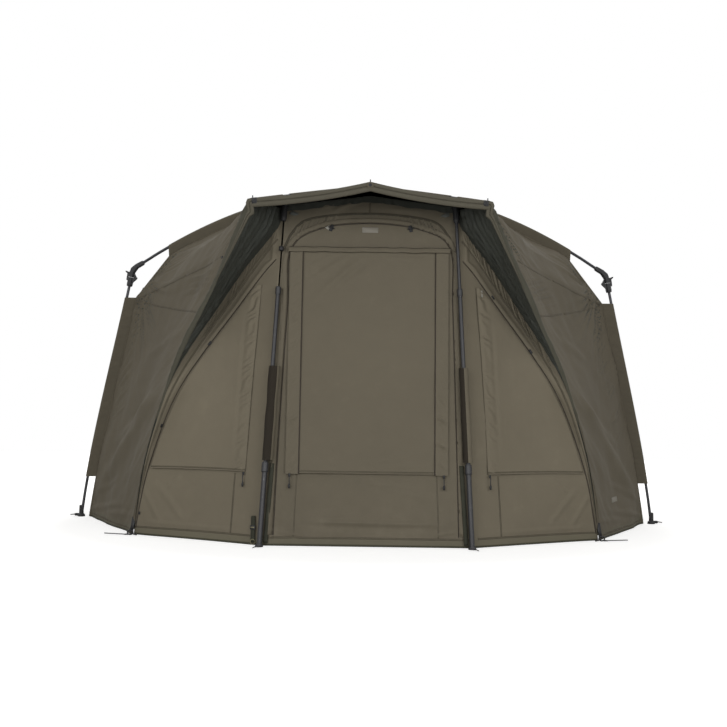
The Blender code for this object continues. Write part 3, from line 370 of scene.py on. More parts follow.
def cut_piece(name, panel, finishes, rows=slice(None), columns=slice(None), thick=CLOTH, leave_out=None):
    """A two faced cloth from part of a panel. leave_out says which of its points lie in a hole."""
    points = panel.points[rows, columns]
    normals = panel.normals[rows, columns]
    flat = panel.flat[rows, columns]
    tall, wide = points.shape[:2]
    quads = grid_quads(tall, wide)
    if leave_out is not None:
        gone = leave_out(points).ravel()
        quads = quads[~gone[quads].all(axis=1)]
    first = quads[len(quads) // 2]
    corners = points.reshape(-1, 3)[first]
    face_way = np.cross(corners[1] - corners[0], corners[3] - corners[0])
    if face_way @ normals.reshape(-1, 3)[first[0]] < 0:
        quads = quads[:, ::-1]
    edges = np.concatenate([quads[:, [k, (k + 1) % 4]] for k in range(4)])
    _, first_seen, count = np.unique(np.sort(edges, axis=1), axis=0, return_index=True, return_counts=True)
    rim = edges[first_seen[count == 1]]
    total = tall * wide
    rims = np.stack([rim[:, 1], rim[:, 0], rim[:, 0] + total, rim[:, 1] + total], axis=1)
    half = thick / 2
    both = np.concatenate([(points + normals * push).reshape(-1, 3) for push in (half, -half)])
    faces = np.concatenate([quads, quads[:, ::-1] + total, rims])
    slots = np.repeat([0, 1, 0], [len(quads), len(quads), len(rims)])
    used = np.unique(faces)
    place = np.full(2 * total, -1)
    place[used] = np.arange(len(used))
    uvs = np.concatenate([flat.reshape(-1, 2)] * 2)[used]
    turned = np.concatenate([normals.reshape(-1, 3), -normals.reshape(-1, 3)])[used]
    made = new_mesh(name, both[used], place[faces].tolist(), uvs, slots, turned)
    for finish in finishes:
        made.data.materials.append(finish)
    return made

# %% [markdown]
# ## Writing a finish
#
# A finish is a small calculation done at every point of a surface: this much darker where a slow noise is
# low, this much rougher where the cloth is worn. In Blender it is a tree of nodes. Written as nodes, even
# a short sum is hard to read, so the next cell lets a socket stand in an ordinary Python expression: `1 -
# 0.2 * noise` adds the Math nodes that work it out. Every other kind of node comes from one method,
# `node`.


# %% Sockets in Python expressions
class Amount:
    """A number, colour or vector that a finish works out, known by the socket that it comes from."""

    def __init__(self, finish, socket):
        self.finish, self.socket = finish, socket

    def out(self, name):
        """Another output of the same node."""
        return Amount(self.finish, self.socket.node.outputs[name])

    def math(self, operation, *values):
        sockets = dict(enumerate(values))
        return self.finish.node("ShaderNodeMath", {"operation": operation}, sockets)

    def __add__(self, other):
        return self.math("ADD", self, other)

    def __sub__(self, other):
        return self.math("SUBTRACT", self, other)

    def __rsub__(self, other):
        return self.math("SUBTRACT", other, self)

    def __mul__(self, other):
        return self.math("MULTIPLY", self, other)

    def __truediv__(self, other):
        return self.math("DIVIDE", self, other)

    def __rtruediv__(self, other):
        return self.math("DIVIDE", other, self)

    def __pow__(self, other):
        return self.math("POWER", self, other)

    __radd__, __rmul__ = __add__, __mul__


class Finish:
    """A material while it is being written."""

    def __init__(self, name, roughness=0.5, metallic=0.0, **constant):
        self.material = bpy.data.materials.new(name)
        self.material.use_nodes = True
        self.tree = self.material.node_tree
        self.shader = self.tree.nodes["Principled BSDF"]
        self.shader.inputs["Roughness"].default_value = roughness
        self.shader.inputs["Metallic"].default_value = metallic
        for socket, value in constant.items():
            self.shader.inputs[socket.replace("_", " ").title()].default_value = value

    def connect(self, value, socket):
        if isinstance(value, Amount):
            self.tree.links.new(value.socket, socket)
        elif socket.type == "RGBA" and len(value) == 3:
            socket.default_value = (*value, 1.0)
        else:
            socket.default_value = value

    def node(self, kind, settings=None, sockets=None):
        """A node of any kind: its settings are set first, then the values or links of its sockets."""
        made = self.tree.nodes.new(kind)
        for setting, value in (settings or {}).items():
            if setting == "stops":
                ramp = made.color_ramp.elements
                while len(ramp) < len(value):
                    ramp.new(0.5)
                for element, (place, colour) in zip(ramp, value):
                    element.position, element.color = place, (*colour, 1.0)
            else:
                setattr(made, setting, value)
        for socket, value in (sockets or {}).items():
            self.connect(value, made.inputs[socket])
        return Amount(self, next(output for output in made.outputs if output.enabled))

    def set(self, **values):
        """What the shader takes: a value, or an expression that varies over the surface."""
        for socket, value in values.items():
            self.connect(value, self.shader.inputs[socket.replace("_", " ").title()])
        return self

    def mixed(self, share, first, second):
        """A colour between two, by a share from 0 to 1."""
        return self.node("ShaderNodeMix", {"data_type": "RGBA"}, {0: share, 6: first, 7: second})

    def clamped(self, value, low, high):
        sockets = {"Value": value, "From Min": low, "From Max": high}
        return self.node("ShaderNodeMapRange", {"clamp": True}, sockets)

    def noise(self, place, scale, detail=2.0, roughness=0.5):
        sockets = {"Vector": place, "Scale": scale, "Detail": detail, "Roughness": roughness}
        return self.node("ShaderNodeTexNoise", None, sockets)

    def wave(self, distance, pitch):
        """A regular ripple from -1 to 1, once every pitch metres of a distance."""
        return self.node("ShaderNodeMath", {"operation": "SINE"}, {0: distance * (math.tau / pitch)})

    def size(self, value):
        """A number without its sign."""
        return self.node("ShaderNodeMath", {"operation": "ABSOLUTE"}, {0: value})

    def bumped(self, height):
        """A normal from a height in metres."""
        return self.node("ShaderNodeBump", None, {"Height": height, "Distance": 1.0})

    def here(self):
        """The place on the object, in metres."""
        return self.node("ShaderNodeTexCoord").out("Object")

    def cloth_place(self):
        """The place on the cloth as it lies flat, in metres: (across, along)."""
        return self.node("ShaderNodeUVMap", {"uv_map": "cloth_metres"})


# %% [markdown]
# ## The cloth's finish
#
# The canopy is matt coated polyester in one drab olive brown. Seen from a few steps away the weave is too
# fine to see, but it is what makes the cloth matt, so it is there as a bump a fraction of a millimetre
# deep. What does show is unevenness: the dye and coating vary slowly over each panel, rubbed folds are a
# shade paler, and the foot of each wall is dusty and greener, with a painted shadow along the ground. The
# dye is three noises of different sizes, added together.

# %% Canopy cloth, lining and the other cloths
# How much mirror shine a cloth has, on a scale where a smooth plastic has 0.5
CLOTH_GLOSS = 0.16
THREAD = 0.0011
DUST_TOP = 0.16
DUST = (0.190, 0.165, 0.125)
GROUND_BAND, GREENER = 0.033, (0.128, 0.122, 0.085)
# The darkest band at the cloth's very foot is painted shadow, where the cloth meets the ground
FOOT_SHADOW_EDGE, FOOT_SHADOW = 0.011, (0.026, 0.028, 0.017)


def toned(colour, share):
    """The same colour, darker below a share of 1 and paler above."""
    return tuple(min(1.0, part * share) for part in colour)


def cloth_finish(name, colour, mottle=0.09, roughness=0.74, sheen=0.012, crumple=0.0007):
    """Coated cloth: uneven dye, rubbed patches, a dusty foot with painted shadow along the ground, weave and
    fine crumples.
    """
    made = Finish(name, roughness=roughness, sheen_weight=sheen, sheen_roughness=0.5)
    made.shader.inputs["Specular IOR Level"].default_value = CLOTH_GLOSS
    place, flat = made.here(), made.cloth_place()
    slow, patchy = made.noise(place, 2.3, 3.0), made.noise(place, 17.0, 4.0, 0.6)
    fibres = made.noise(flat, 700.0, 1.0)
    dye = 0.50 * slow + 0.35 * patchy + 0.15 * fibres
    base = made.mixed(made.clamped(dye, 0.32, 0.68), toned(colour, 1 - mottle), toned(colour, 1 + mottle))
    rubbed = made.clamped(patchy, 0.62, 0.80)
    base = made.mixed(rubbed * 0.30, base, toned(colour, 1.25))
    above_ground = made.node("ShaderNodeSeparateXYZ", None, {0: place}).out("Z")
    dusty = made.clamped(above_ground, DUST_TOP, 0.0) * made.clamped(patchy, 0.38, 0.70)
    base = made.mixed(dusty * 0.30, base, DUST)
    in_band = made.clamped(above_ground, GROUND_BAND, GROUND_BAND - 0.002)
    base = made.mixed(in_band * 0.5, base, GREENER)
    # Painted shadow: a dark band along the ground at the cloth's very foot
    base = made.mixed(made.clamped(above_ground, FOOT_SHADOW_EDGE, FOOT_SHADOW_EDGE - 0.004) * 0.8, base, FOOT_SHADOW)
    apart = made.node("ShaderNodeSeparateXYZ", None, {0: flat})
    weave = made.wave(apart.out("X"), THREAD) * made.wave(apart.out("Y"), THREAD)
    folds = made.bumped(0.00002 * weave + crumple * made.noise(place, 42.0, 5.0, 0.60))
    return made.set(base_color=base, roughness=roughness - 0.06 + 0.12 * patchy, normal=folds).material


DRAB = (0.133, 0.116, 0.084)
# The canopy's and the sleeves' cloth are darker copies of the one drab: painted shade for walls and fins that
# face away from the light
CANOPY = cloth_finish("canopy_drab", toned(DRAB, 0.95))
SLEEVE = cloth_finish("sleeve_drab", toned(DRAB, 0.78))
DOOR_CLOTH = cloth_finish("door_drab", DRAB)
COVER = cloth_finish("window_cover_drab", toned(DRAB, 1.02), mottle=0.06)
# The side panels' cloth is a paler copy of the same drab: painted light
SIDE_CLOTH = cloth_finish("side_panel_drab", toned(DRAB, 1.24), mottle=0.07)
EDGE_CLOTH = cloth_finish("edge_band_drab", (0.096, 0.088, 0.066), mottle=0.10)
# The lip rolls are partly the lining's dark green and partly painted shade, because they turn away from the
# light
LIP_CLOTH = cloth_finish("lip_roll_green", (0.070, 0.067, 0.050), mottle=0.12)
LINING = cloth_finish("dark_lining", (0.050, 0.053, 0.045), mottle=0.16, roughness=0.50, crumple=0.0012)
# The pole sleeves' near-black inside is painted shade
SHADE_CLOTH = cloth_finish("pole_sleeve_inside", (0.028, 0.023, 0.017), roughness=0.85)
CLOTHS = (CANOPY, SLEEVE, DOOR_CLOTH, COVER, SIDE_CLOTH, EDGE_CLOTH, LIP_CLOTH, LINING, SHADE_CLOTH)
print("cloth finishes:", [finish.name for finish in CLOTHS])

# %% [markdown]
# ## Seam tape, stitches and zips
#
# A seam shows as a narrow raised tape with two rows of stitches, and a zip as a tape with a coil down its
# middle. Both are ribbons that follow a line on the cloth. A ribbon's map runs across it and along it in
# metres, so a row of stitches is a stripe in the first number cut into dashes by the second.

# %% Stitched tape and zip coil
STITCH = 0.0036
THREAD_WIDE = 0.0009


def stitched_finish(name, colour, width, rows=(0.22, 0.78)):
    """A folded tape with rows of stitches, each row at a share of its width."""
    made = Finish(name, roughness=0.72)
    made.shader.inputs["Specular IOR Level"].default_value = CLOTH_GLOSS
    apart = made.node("ShaderNodeSeparateXYZ", None, {0: made.cloth_place()})
    across, along = apart.out("X"), apart.out("Y")
    dash = made.clamped(made.wave(along, STITCH), -0.5, 0.1)
    thread = 0.0
    for row in rows:
        near = made.clamped(made.size(across - row * width), THREAD_WIDE, THREAD_WIDE * 0.4)
        thread = thread + near * dash
    patchy = made.noise(made.here(), 30.0, 3.0)
    cloth = made.mixed(made.clamped(patchy, 0.3, 0.7), toned(colour, 0.90), toned(colour, 1.10))
    pucker = made.noise(made.here(), 160.0, 2.0)
    raised = made.bumped(0.0005 * thread + 0.0004 * pucker)
    return made.set(base_color=made.mixed(thread * 0.6, cloth, toned(colour, 0.72)), normal=raised).material


def zip_finish(name, width):
    """Dark zip tape with a coil down its middle."""
    made = Finish(name, roughness=0.60)
    apart = made.node("ShaderNodeSeparateXYZ", None, {0: made.cloth_place()})
    coil = made.clamped(made.size(apart.out("X") - width / 2), 0.0018, 0.0011)
    teeth = coil * made.clamped(made.wave(apart.out("Y"), 0.0013), -0.2, 0.4)
    colour = made.mixed(coil, (0.078, 0.062, 0.045), (0.052, 0.041, 0.030))
    rough = 0.75 - 0.35 * teeth
    return made.set(base_color=colour, roughness=rough, normal=made.bumped(0.0006 * (coil + teeth))).material


SEAM_WIDE, ZIP_WIDE = 0.008, 0.0048
SEAM = stitched_finish("seam_tape", toned(DRAB, 0.80), SEAM_WIDE)
SEAM_DARK = stitched_finish("seam_tape_dark", toned(DRAB, 0.50), 0.010)
ZIP = zip_finish("zip_tape_and_coil", ZIP_WIDE)

# %% [markdown]
# ## Tubes, mouldings and wire
#
# The frame is slim dark anodised tube with black nylon joints. Anodised tube is drawn through a die, so
# its scratches run along it and its edges rub to bare metal where one tube slides in another. The joints
# are injection moulded with a fine spark grain that scatters the light, and they polish on their corners.
# A bevel node that is compared with the plain normal finds those corners without any drawing.

# %% Metal and nylon finishes
NYLON_GLOSS = 0.30
def worn_edges(made, radius):
    """A share that is near 1 on outside corners, from how far a rounded normal turns from the plain one."""
    plain = made.node("ShaderNodeNewGeometry").out("Normal")
    rounded = made.node("ShaderNodeBevel", {"samples": 4}, {"Radius": radius})
    dot = {"operation": "DOT_PRODUCT"}
    alike = made.node("ShaderNodeVectorMath", dot, {0: plain, 1: rounded}).out("Value")
    return made.clamped(alike, 0.97, 0.80)


def tube_finish(name, colour, roughness=0.36, metallic=0.85):
    """Anodised tube with fine scratches and dull patches."""
    made = Finish(name, roughness=roughness, metallic=metallic)
    place = made.here()
    stretched = made.node("ShaderNodeMapping", None, {"Vector": place, "Scale": (1.0, 1.0, 0.05)})
    scratches = made.noise(stretched, 420.0, 3.0)
    dull = made.noise(place, 9.0, 3.0)
    base = made.mixed(made.clamped(dull, 0.35, 0.70), colour, toned(colour, 1.35))
    base = made.mixed(made.clamped(scratches, 0.66, 0.74) * 0.35, base, (0.30, 0.30, 0.31))
    rough = roughness - 0.08 + 0.16 * dull + 0.10 * scratches
    return made.set(base_color=base, roughness=rough, normal=made.bumped(0.00006 * scratches)).material


def nylon_finish(name, colour, roughness=0.50):
    """Moulded nylon with a spark grain and corners that are polished by handling."""
    made = Finish(name, roughness=roughness)
    made.shader.inputs["Specular IOR Level"].default_value = NYLON_GLOSS
    place = made.here()
    grain, patch = made.noise(place, 1500.0, 2.0), made.noise(place, 40.0, 3.0)
    worn = worn_edges(made, 0.0012)
    base = made.mixed(made.clamped(patch, 0.3, 0.7), toned(colour, 0.85), toned(colour, 1.20))
    base = made.mixed(worn * 0.45, base, (0.090, 0.090, 0.092))
    rough = roughness - 0.05 + 0.14 * patch - 0.12 * worn
    return made.set(base_color=base, roughness=rough, normal=made.bumped(0.00008 * grain)).material


FRAME_TUBE = tube_finish("frame_tube_anodised", (0.055, 0.055, 0.060))
POLE_TUBE = tube_finish("pole_tube_dark", (0.018, 0.018, 0.020), roughness=0.42, metallic=0.15)
NYLON = nylon_finish("nylon_black", (0.020, 0.020, 0.021))
STEEL = tube_finish("peg_wire_dark", (0.090, 0.090, 0.095), roughness=0.32, metallic=1.0)
BRASSY = Finish("buckle_slot_dull", roughness=0.45).set(base_color=(0.20, 0.18, 0.10)).material
print("hard finishes:", [finish.name for finish in (FRAME_TUBE, POLE_TUBE, NYLON, STEEL)])

# %% [markdown]
# ## The canopy, gore by gore
#
# Each gore is one cloth between two seams, pulled in a little at its middle by its own tension. It can be
# built by lofting from seam to seam and then adding the folds. The rows are spaced by real length, so
# that the folds keep their width from the hub to the ground, and four rows fall exactly where a seam
# begins or ends.

# %% Rows and columns of a gore
SAG = 0.030
APEX_SHARE = 0.010
SPLIT, ELBOW_MIDDLE = 0.46, 0.47
KEY_SHARES = (RIB_SHARE, EDGE_SHARE, SPLIT, LEG_SHARE)
PULL_HEIGHT = 0.55
HELD_WITHIN = 0.012


def paced(line_a, line_b, step):
    """Shares of a gore's run at even steps of its mean length, with the key shares among them."""
    share = np.linspace(APEX_SHARE, 1.0, 900)
    middle = (line_a(share) + line_b(share)) / 2
    run = length_along(middle, 0)
    stops = [APEX_SHARE, *KEY_SHARES, 1.0]
    at = np.interp(stops, share, run)
    rows = []
    for start, end in zip(at, at[1:]):
        count = max(1, round((end - start) / step))
        rows.extend(np.interp(np.linspace(start, end, count, endpoint=False), run, share))
    return np.array(rows + [1.0])


def row_of(shares, share):
    return int(np.argmin(np.abs(shares - share)))


def hung(line_a, line_b, shares, columns):
    """A grid of cloth between two seams, drawn in a little at its middle."""
    a, b = line_a(shares)[:, None], line_b(shares)[:, None]
    width = np.linalg.norm(b - a, axis=-1)
    w = np.broadcast_to(columns, (len(shares), len(columns)))
    here = a + (b - a) * w[..., None]
    run = np.sin(math.pi * shares**0.8)[:, None]
    hollow = SAG * 4 * w * (1 - w) * np.minimum(1.0, width / 0.5) * run
    way = unit(HUB + np.array([0.0, 0.0, PULL_HEIGHT]) - here)
    lifted = np.clip((here[..., 2] - 0.02) / 0.05, 0.0, 1.0)
    here = here + way * (hollow * lifted)[..., None]
    here[..., 2] = np.maximum(here[..., 2], GROUND_GAP)
    return here


def held(height, *distances):
    """Folds that die away close to the seams that these distances are measured from."""
    for away in distances:
        height = height * np.clip(np.abs(away) / HELD_WITHIN, 0.0, 1.0)
    return height


# %% [markdown]
# ## Riding on the frame
#
# When the shelter is put away, its ribs swing up like an umbrella's and the cloth between them falls into
# pleats. Each half of a gore rides on the rib or leg that its seam is sewn to.

# %% Ride on a body
CARRIED = {}


def gather_across(pieces, body, anchor):
    """Pieces ride on a body, each with a mesh of its own."""
    for piece in pieces:
        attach(piece, body)
        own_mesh(piece)


def gather_to(pieces, body, start, end, far):
    """Pieces ride on a body, and each keeps the body, the line from start to end and a point off it."""
    start, end, far = (np.asarray(point, float) for point in (start, end, far))
    line = (end - start) / np.linalg.norm(end - start)
    away = far - start
    square = away - (away @ line) * line
    square /= np.linalg.norm(square)
    for piece in pieces:
        CARRIED[piece.name] = (body, start, end, far)
    gather_across(pieces, body, start)


def stands_for(pieces, node):
    """Pieces are seen in place of a node of the frame, which is hidden."""
    for piece in pieces:
        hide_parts(node)


def declared(piece, panel, held_by, rests_on, with_pieces=(), rows=slice(None), columns=slice(None)):
    """Print what size a piece was cut to."""
    width, length, area = panel.size(rows, columns)
    print(f"{piece.name}: {width:.2f} by {length:.2f} m, {area:.2f} square metres")

# %% [markdown]
# ## Tapes that lie on the cloth
#
# Seams, bindings and zips are all the same form: a low strip that follows a line over the cloth, a few
# millimetres wide and less than one thick. Its section is five points, and the strip is lofted along the
# line with the cloth's own normal as its up direction. All the strips of one piece of canopy become one
# mesh, so that they ride on the frame together with it.

# %% Lofted strips
TAPE_HIGH = 0.0007
TAPE_SECTION = ((-0.5, 0.0), (-0.42, 0.9), (0.0, 1.1), (0.42, 0.9), (0.5, 0.0))


def ring_faces(count, around):
    """Faces that join rings of points one to the next, and close both ends."""
    index = np.arange(count * around).reshape(count, around)
    after = np.roll(index, -1, axis=1)
    faces = np.stack([index[:-1], after[:-1], after[1:], index[1:]], axis=-1).reshape(-1, 4).tolist()
    return faces + [index[0][::-1].tolist(), index[-1].tolist()]


def strip_of(line, normals, width, high=TAPE_HIGH, slot=0, section=TAPE_SECTION):
    """One strip as (points, faces, uvs, slots), lying on a line whose cloth faces along normals."""
    line, normals = np.asarray(line, float), np.asarray(normals, float)
    side = unit(np.cross(unit(np.gradient(line, axis=0)), normals))
    run = length_along(line, 0)
    rings = [line + side * (width * u) + normals * (high * v + CLOTH * 0.4) for u, v in section]
    maps = [np.stack([np.full(len(run), width * (u + 0.5)), run], axis=1) for u, _ in section]
    points, uvs = np.stack(rings, axis=1).reshape(-1, 3), np.stack(maps, axis=1).reshape(-1, 2)
    faces = ring_faces(len(line), len(section))
    return points, faces, uvs, [slot] * len(faces)


def joined(name, parts, finishes):
    """One mesh from several strips or shells."""
    points, faces, uvs, slots = [], [], [], []
    for part_points, part_faces, part_uvs, part_slots in parts:
        start = sum(len(group) for group in points)
        points.append(part_points)
        faces += [[start + corner for corner in face] for face in part_faces]
        uvs.append(part_uvs)
        slots += part_slots
    made = new_mesh(name, np.concatenate(points), faces, np.concatenate(uvs), slots)
    for finish in finishes:
        made.data.materials.append(finish)
    return made


# %% Lines that the strips follow
def inward(edge, inner, distance):
    """Points at a distance from an edge, towards the grid's next line of points."""
    way = inner - edge
    return edge + way / np.maximum(np.linalg.norm(way, axis=1, keepdims=True), 1e-9) * distance


def beside(panel, column, distance, rows=slice(None)):
    """A line on a panel at a distance in from its first (0) or last (-1) column, with the normals there."""
    edge, inner = panel.points[rows, column], panel.points[rows, 1 if column == 0 else -2]
    return inward(edge, inner, distance), panel.normals[rows, column]


def below(panel, row, distance, columns=slice(None)):
    """A line on a panel at a distance in from its first or last row, with the normals there."""
    edge, inner = panel.points[row, columns], panel.points[1 if row == 0 else -2, columns]
    return inward(edge, inner, distance), panel.normals[row, columns]


def seen_on(panel, points, side, count=40):
    """A line drawn on a panel as seen from the front, from smooth (size of x, height) points."""
    quads = grid_quads(*panel.points.shape[:2])
    surface = BVHTree.FromPolygons(panel.points.reshape(-1, 3).tolist(), quads.tolist())
    places, normals, columns = [], [], []
    for x, z in smooth(points, np.linspace(0, 1, count)):
        place, normal, face, _ = surface.ray_cast(Vector((side * x, -3.0, z)), Vector((0, 1, 0)))
        if place is None:
            continue
        row, column = divmod(face, panel.points.shape[1] - 1)
        places.append(place)
        normals.append(panel.normals[row, column])
        columns.append(column)
    return np.array(places), np.array(normals), np.array(columns)


# %% [markdown]
# ## Folds of the side gores
#
# The walls beside the entrance are the most wrinkled part. A fan of short folds spreads from each elbow,
# where the sleeve stops and the cloth alone carries the pull. Below it, slanting puckers line the leg's
# seam, and one long ridge runs from the end of the lip down to the side leg's foot. They are placed here
# as a person in front of the shelter sees them: by their distance from the middle line and their height.

# %% Where each fold lies
def fan(along, away, folds, high, reach, seed):
    """Folds that spread from a point like a fan, strongest a little way off it."""
    distance = np.hypot(along, away)
    turn = np.arctan2(along, np.maximum(np.abs(away), 1e-6))
    shape = wobble(turn * folds / math.pi * 3.0, seed, 4)
    return high * shape * (distance / reach) * np.exp(1 - distance / reach)


SIDE_CREASES = (
    ((0.79, 0.625), (1.20, 0.10), 0.0160, 0.038),
    ((0.83, 0.560), (1.10, 0.33), 0.0060, 0.022),
    ((1.26, 0.030), (0.98, 0.11), 0.0045, 0.016),
    ((1.22, 0.100), (1.02, 0.21), 0.0035, 0.015),
    ((0.90, 0.080), (1.10, 0.05), 0.0030, 0.014),
    ((0.70, 0.830), (0.95, 0.70), 0.0040, 0.022),
)
LEFT_CREASES = (
    ((0.746, 1.024), (0.576, 1.035), 0.0060, 0.010),
    ((0.735, 1.000), (0.585, 1.008), 0.0046, 0.009),
    ((0.760, 0.970), (0.600, 0.985), 0.0055, 0.009),
    ((0.720, 0.945), (0.610, 0.960), 0.0025, 0.008),
)
RIGHT_CREASES = (
    ((0.600, 0.966), (0.720, 1.017), 0.0060, 0.010),
    ((0.620, 0.945), (0.750, 0.985), 0.0055, 0.009),
    ((0.590, 1.000), (0.700, 1.040), 0.0045, 0.009),
    ((0.640, 0.915), (0.760, 0.950), 0.0025, 0.009),
)


def leg_puckers(side, seed, count=9):
    """Short slanting creases beside the side leg's seam."""
    chance = np.random.default_rng(seed)
    found = []
    for k in range(count):
        z = 0.40 + 0.56 * (k + chance.uniform(0.2, 0.8)) / count
        outer = leg_reach("side_left", z) * 0.966 - 0.045
        inner = outer - chance.uniform(0.05, 0.09)
        rise = chance.uniform(0.06, 0.11) * -side
        high = chance.uniform(0.0030, 0.0058)
        found.append(((outer, z), (inner, z + rise), high, chance.uniform(0.006, 0.011)))
    return found


def side_folds(panel, shares, side):
    """All folds of one side gore, as heights for its grid."""
    along, away = panel.flat[..., 1], panel.flat[..., 0]
    across = away[:, -1:] - away
    seed = 20 + side
    elbow = along[row_of(shares, ELBOW_MIDDLE), -1]
    tip = along[row_of(shares, EDGE_SHARE), 0]
    height = gathers(along, across, 0.030, 0.0020, 0.030, seed)
    height += gathers(along, away, 0.034, 0.0016, 0.028, seed + 4)
    height += fan(along - elbow, across, 9, 0.0062, 0.100, seed + 8)
    height += fan(along - tip, away, 6, 0.0045, 0.070, seed + 12)
    height += rumple(panel.flat, 0.34, 0.0042, seed + 16) + rumple(panel.flat, 0.09, 0.0009, seed + 20)
    seen = np.stack([np.abs(panel.points[..., 0]), panel.points[..., 2]], axis=-1)
    in_front = panel.points[..., 1] < HUB[1] + 0.35
    own = LEFT_CREASES if side < 0 else RIGHT_CREASES
    for fold in (*SIDE_CREASES, *own, *leg_puckers(side, seed)):
        height += crease(seen, *fold) * in_front
    return held(height, away, across)


def plain_folds(panel, shares, seed):
    """Folds of a quarter or rear gore: gathers along both seams, a rumple, and a drape below the elbow."""
    along, away = panel.flat[..., 1], panel.flat[..., 0]
    across = away[:, -1:] - away
    elbow = along[row_of(shares, ELBOW_MIDDLE), -1]
    height = gathers(along, across, 0.034, 0.0020, 0.032, seed)
    height += gathers(along, away, 0.034, 0.0020, 0.032, seed + 1)
    drape = np.clip((along - elbow) / 0.5, 0, 1)
    height += rumple(panel.flat, 0.36, 0.0035, seed + 4) + rumple(panel.flat, 0.10, 0.0007, seed + 5)
    height += drape * 0.0045 * wobble(away / 0.16, seed + 6)
    return held(height, away, across)


# %% [markdown]
# ## Cut the gores at their ribs' halves
#
# Every gore is worked out whole, with its folds, and cut once across at the elbow's height and once down
# its middle. The four pieces then ride on the rib, the leg or the pole that carries them.

# %% Cut and hang one gore
POLE_HEAD_REACH, POLE_HEAD_HEIGHT = 0.6440, 1.308
# Half sizes of the opening there, along the rib, across it and upright
POLE_HEAD_GAP = (0.019, 0.017, 0.022)
SEAM_IN, FOOT_SEAM_UP = 0.010, 0.018


def pole_head_gap(side):
    """Says which points lie in the small opening where a rib's lug reaches its storm pole."""
    rib = "corner_right" if side > 0 else "corner_left"
    middle = spot(rib, POLE_HEAD_REACH, POLE_HEAD_HEIGHT)

    def inside(points):
        offset = points - middle
        far = np.stack([offset @ outward(rib), offset @ crosswise(rib), offset[..., 2]], axis=-1)
        return (np.abs(far) < POLE_HEAD_GAP).all(axis=-1)

    return inside


def hang_gore(name, panel, shares, seams, carriers, rests_on, node, open_at=None, tapes=()):
    """Cut a gore into roof and wall, front and back halves, with its tapes, and hang each piece."""
    cut, half = row_of(shares, SPLIT), panel.points.shape[1] // 2
    bands = {"roof": (slice(0, cut + 1), 1, cut), "wall": (slice(cut, None), cut, len(shares) - 1)}
    halves = {"front": (slice(0, half + 1), 0), "back": (slice(half, None), -1)}
    for band, (rows, first, last) in bands.items():
        for end, (columns, edge) in halves.items():
            piece_name = f"{band}_{name}_{end}"
            hole = open_at if edge == 0 else None
            piece = cut_piece(piece_name, panel, (CANOPY, LINING), rows, columns, leave_out=hole)
            line, normals = beside(panel, edge, SEAM_IN, rows)
            strips = [strip_of(line[1:], normals[1:], SEAM_WIDE)]
            if band == "wall":
                line, normals = below(panel, -1, FOOT_SEAM_UP, columns)
                strips.append(strip_of(line[:-1] if edge == 0 else line[1:], normals[1:], SEAM_WIDE))
            for tape_line, tape_normals, tape_columns in tapes:
                mine = tape_columns <= half if edge == 0 else tape_columns >= half
                if band == "wall" and mine.sum() > 2:
                    strips.append(strip_of(tape_line[mine], tape_normals[mine], SEAM_WIDE))
            trim = joined(f"{piece_name}_seams", strips, [SEAM])
            start, stop = seams[edge](shares[[first, last]])
            middle = panel.points[(first + last) // 2, half]
            gather_to([piece, trim], carriers[band, end], start, stop, middle)
            declared(piece, panel, "stretched", rests_on[band, end], [trim], rows, columns)
            stands_for([piece, trim], node)


# %% Side, quarter and rear gores
SIDE_STEP, QUARTER_STEP, REAR_STEP = 0.0085, 0.013, 0.014
SIDE_COLUMNS, QUARTER_COLUMNS, REAR_COLUMNS = 97, 65, 93


def gore_panel(seams, step, columns, out_way, folds, seed):
    """The shares of a gore's rows, and its panel with all its folds."""
    shares = paced(*seams, step)
    grid = Panel(hung(*seams, shares, np.linspace(0, 1, columns)), out_way)
    return shares, grid.pushed(folds(grid, shares, seed), out_way)


def four(roof_front, roof_back, wall_front, wall_back):
    """One value for each piece of a gore."""
    return {("roof", "front"): roof_front, ("roof", "back"): roof_back,
            ("wall", "front"): wall_front, ("wall", "back"): wall_back}


WALL_SEAMS = (
    ((1.026, 0.975), (0.90, 1.005), (0.74, 1.045), (0.565, 1.085)),
    ((1.026, 0.965), (0.86, 0.92), (0.655, 0.875)),
)
WALLS, WALL_ROWS = {}, {}
for word, side in SIDES:
    side_line = partial(legged_seam, f"side_{word}")
    seams = (partial(corner_seam, side), side_line)
    shares, side_panel = gore_panel(seams, SIDE_STEP, SIDE_COLUMNS, (side, -0.5, 0.3), side_folds, side)
    WALLS[word], WALL_ROWS[word] = side_panel, shares
    tapes = [seen_on(side_panel, line, side) for line in WALL_SEAMS]
    hang_gore(
        f"side_{word}", side_panel, shares, seams,
        four(f"corner_rib_{word}", f"side_rib_{word}", f"storm_pole_{word}", f"side_leg_{word}"),
        four([f"rib_corner_{word}"], [f"rib_side_{word}"], [f"pole_upper_{word}"], [f"leg_side_{word}"]),
        f"canopy_side_{word}", pole_head_gap(side), tapes,
    )
    seams, out_way = (side_line, partial(legged_seam, f"rear_{word}")), (side, 1.0, 0.3)
    shares, quarter_panel = gore_panel(seams, QUARTER_STEP, QUARTER_COLUMNS, out_way, plain_folds, 60 + side)
    hang_gore(
        f"quarter_{word}", quarter_panel, shares, seams,
        four(f"side_rib_{word}", f"rear_rib_{word}", f"side_leg_{word}", f"rear_leg_{word}"),
        four([f"rib_side_{word}"], [f"rib_rear_{word}"], [f"leg_side_{word}"], [f"leg_rear_{word}"]),
        f"canopy_quarter_{word}",
    )
seams = (partial(legged_seam, "rear_left"), partial(legged_seam, "rear_right"))
shares, rear_panel = gore_panel(seams, REAR_STEP, REAR_COLUMNS, (0, 1, 0.3), plain_folds, 80)
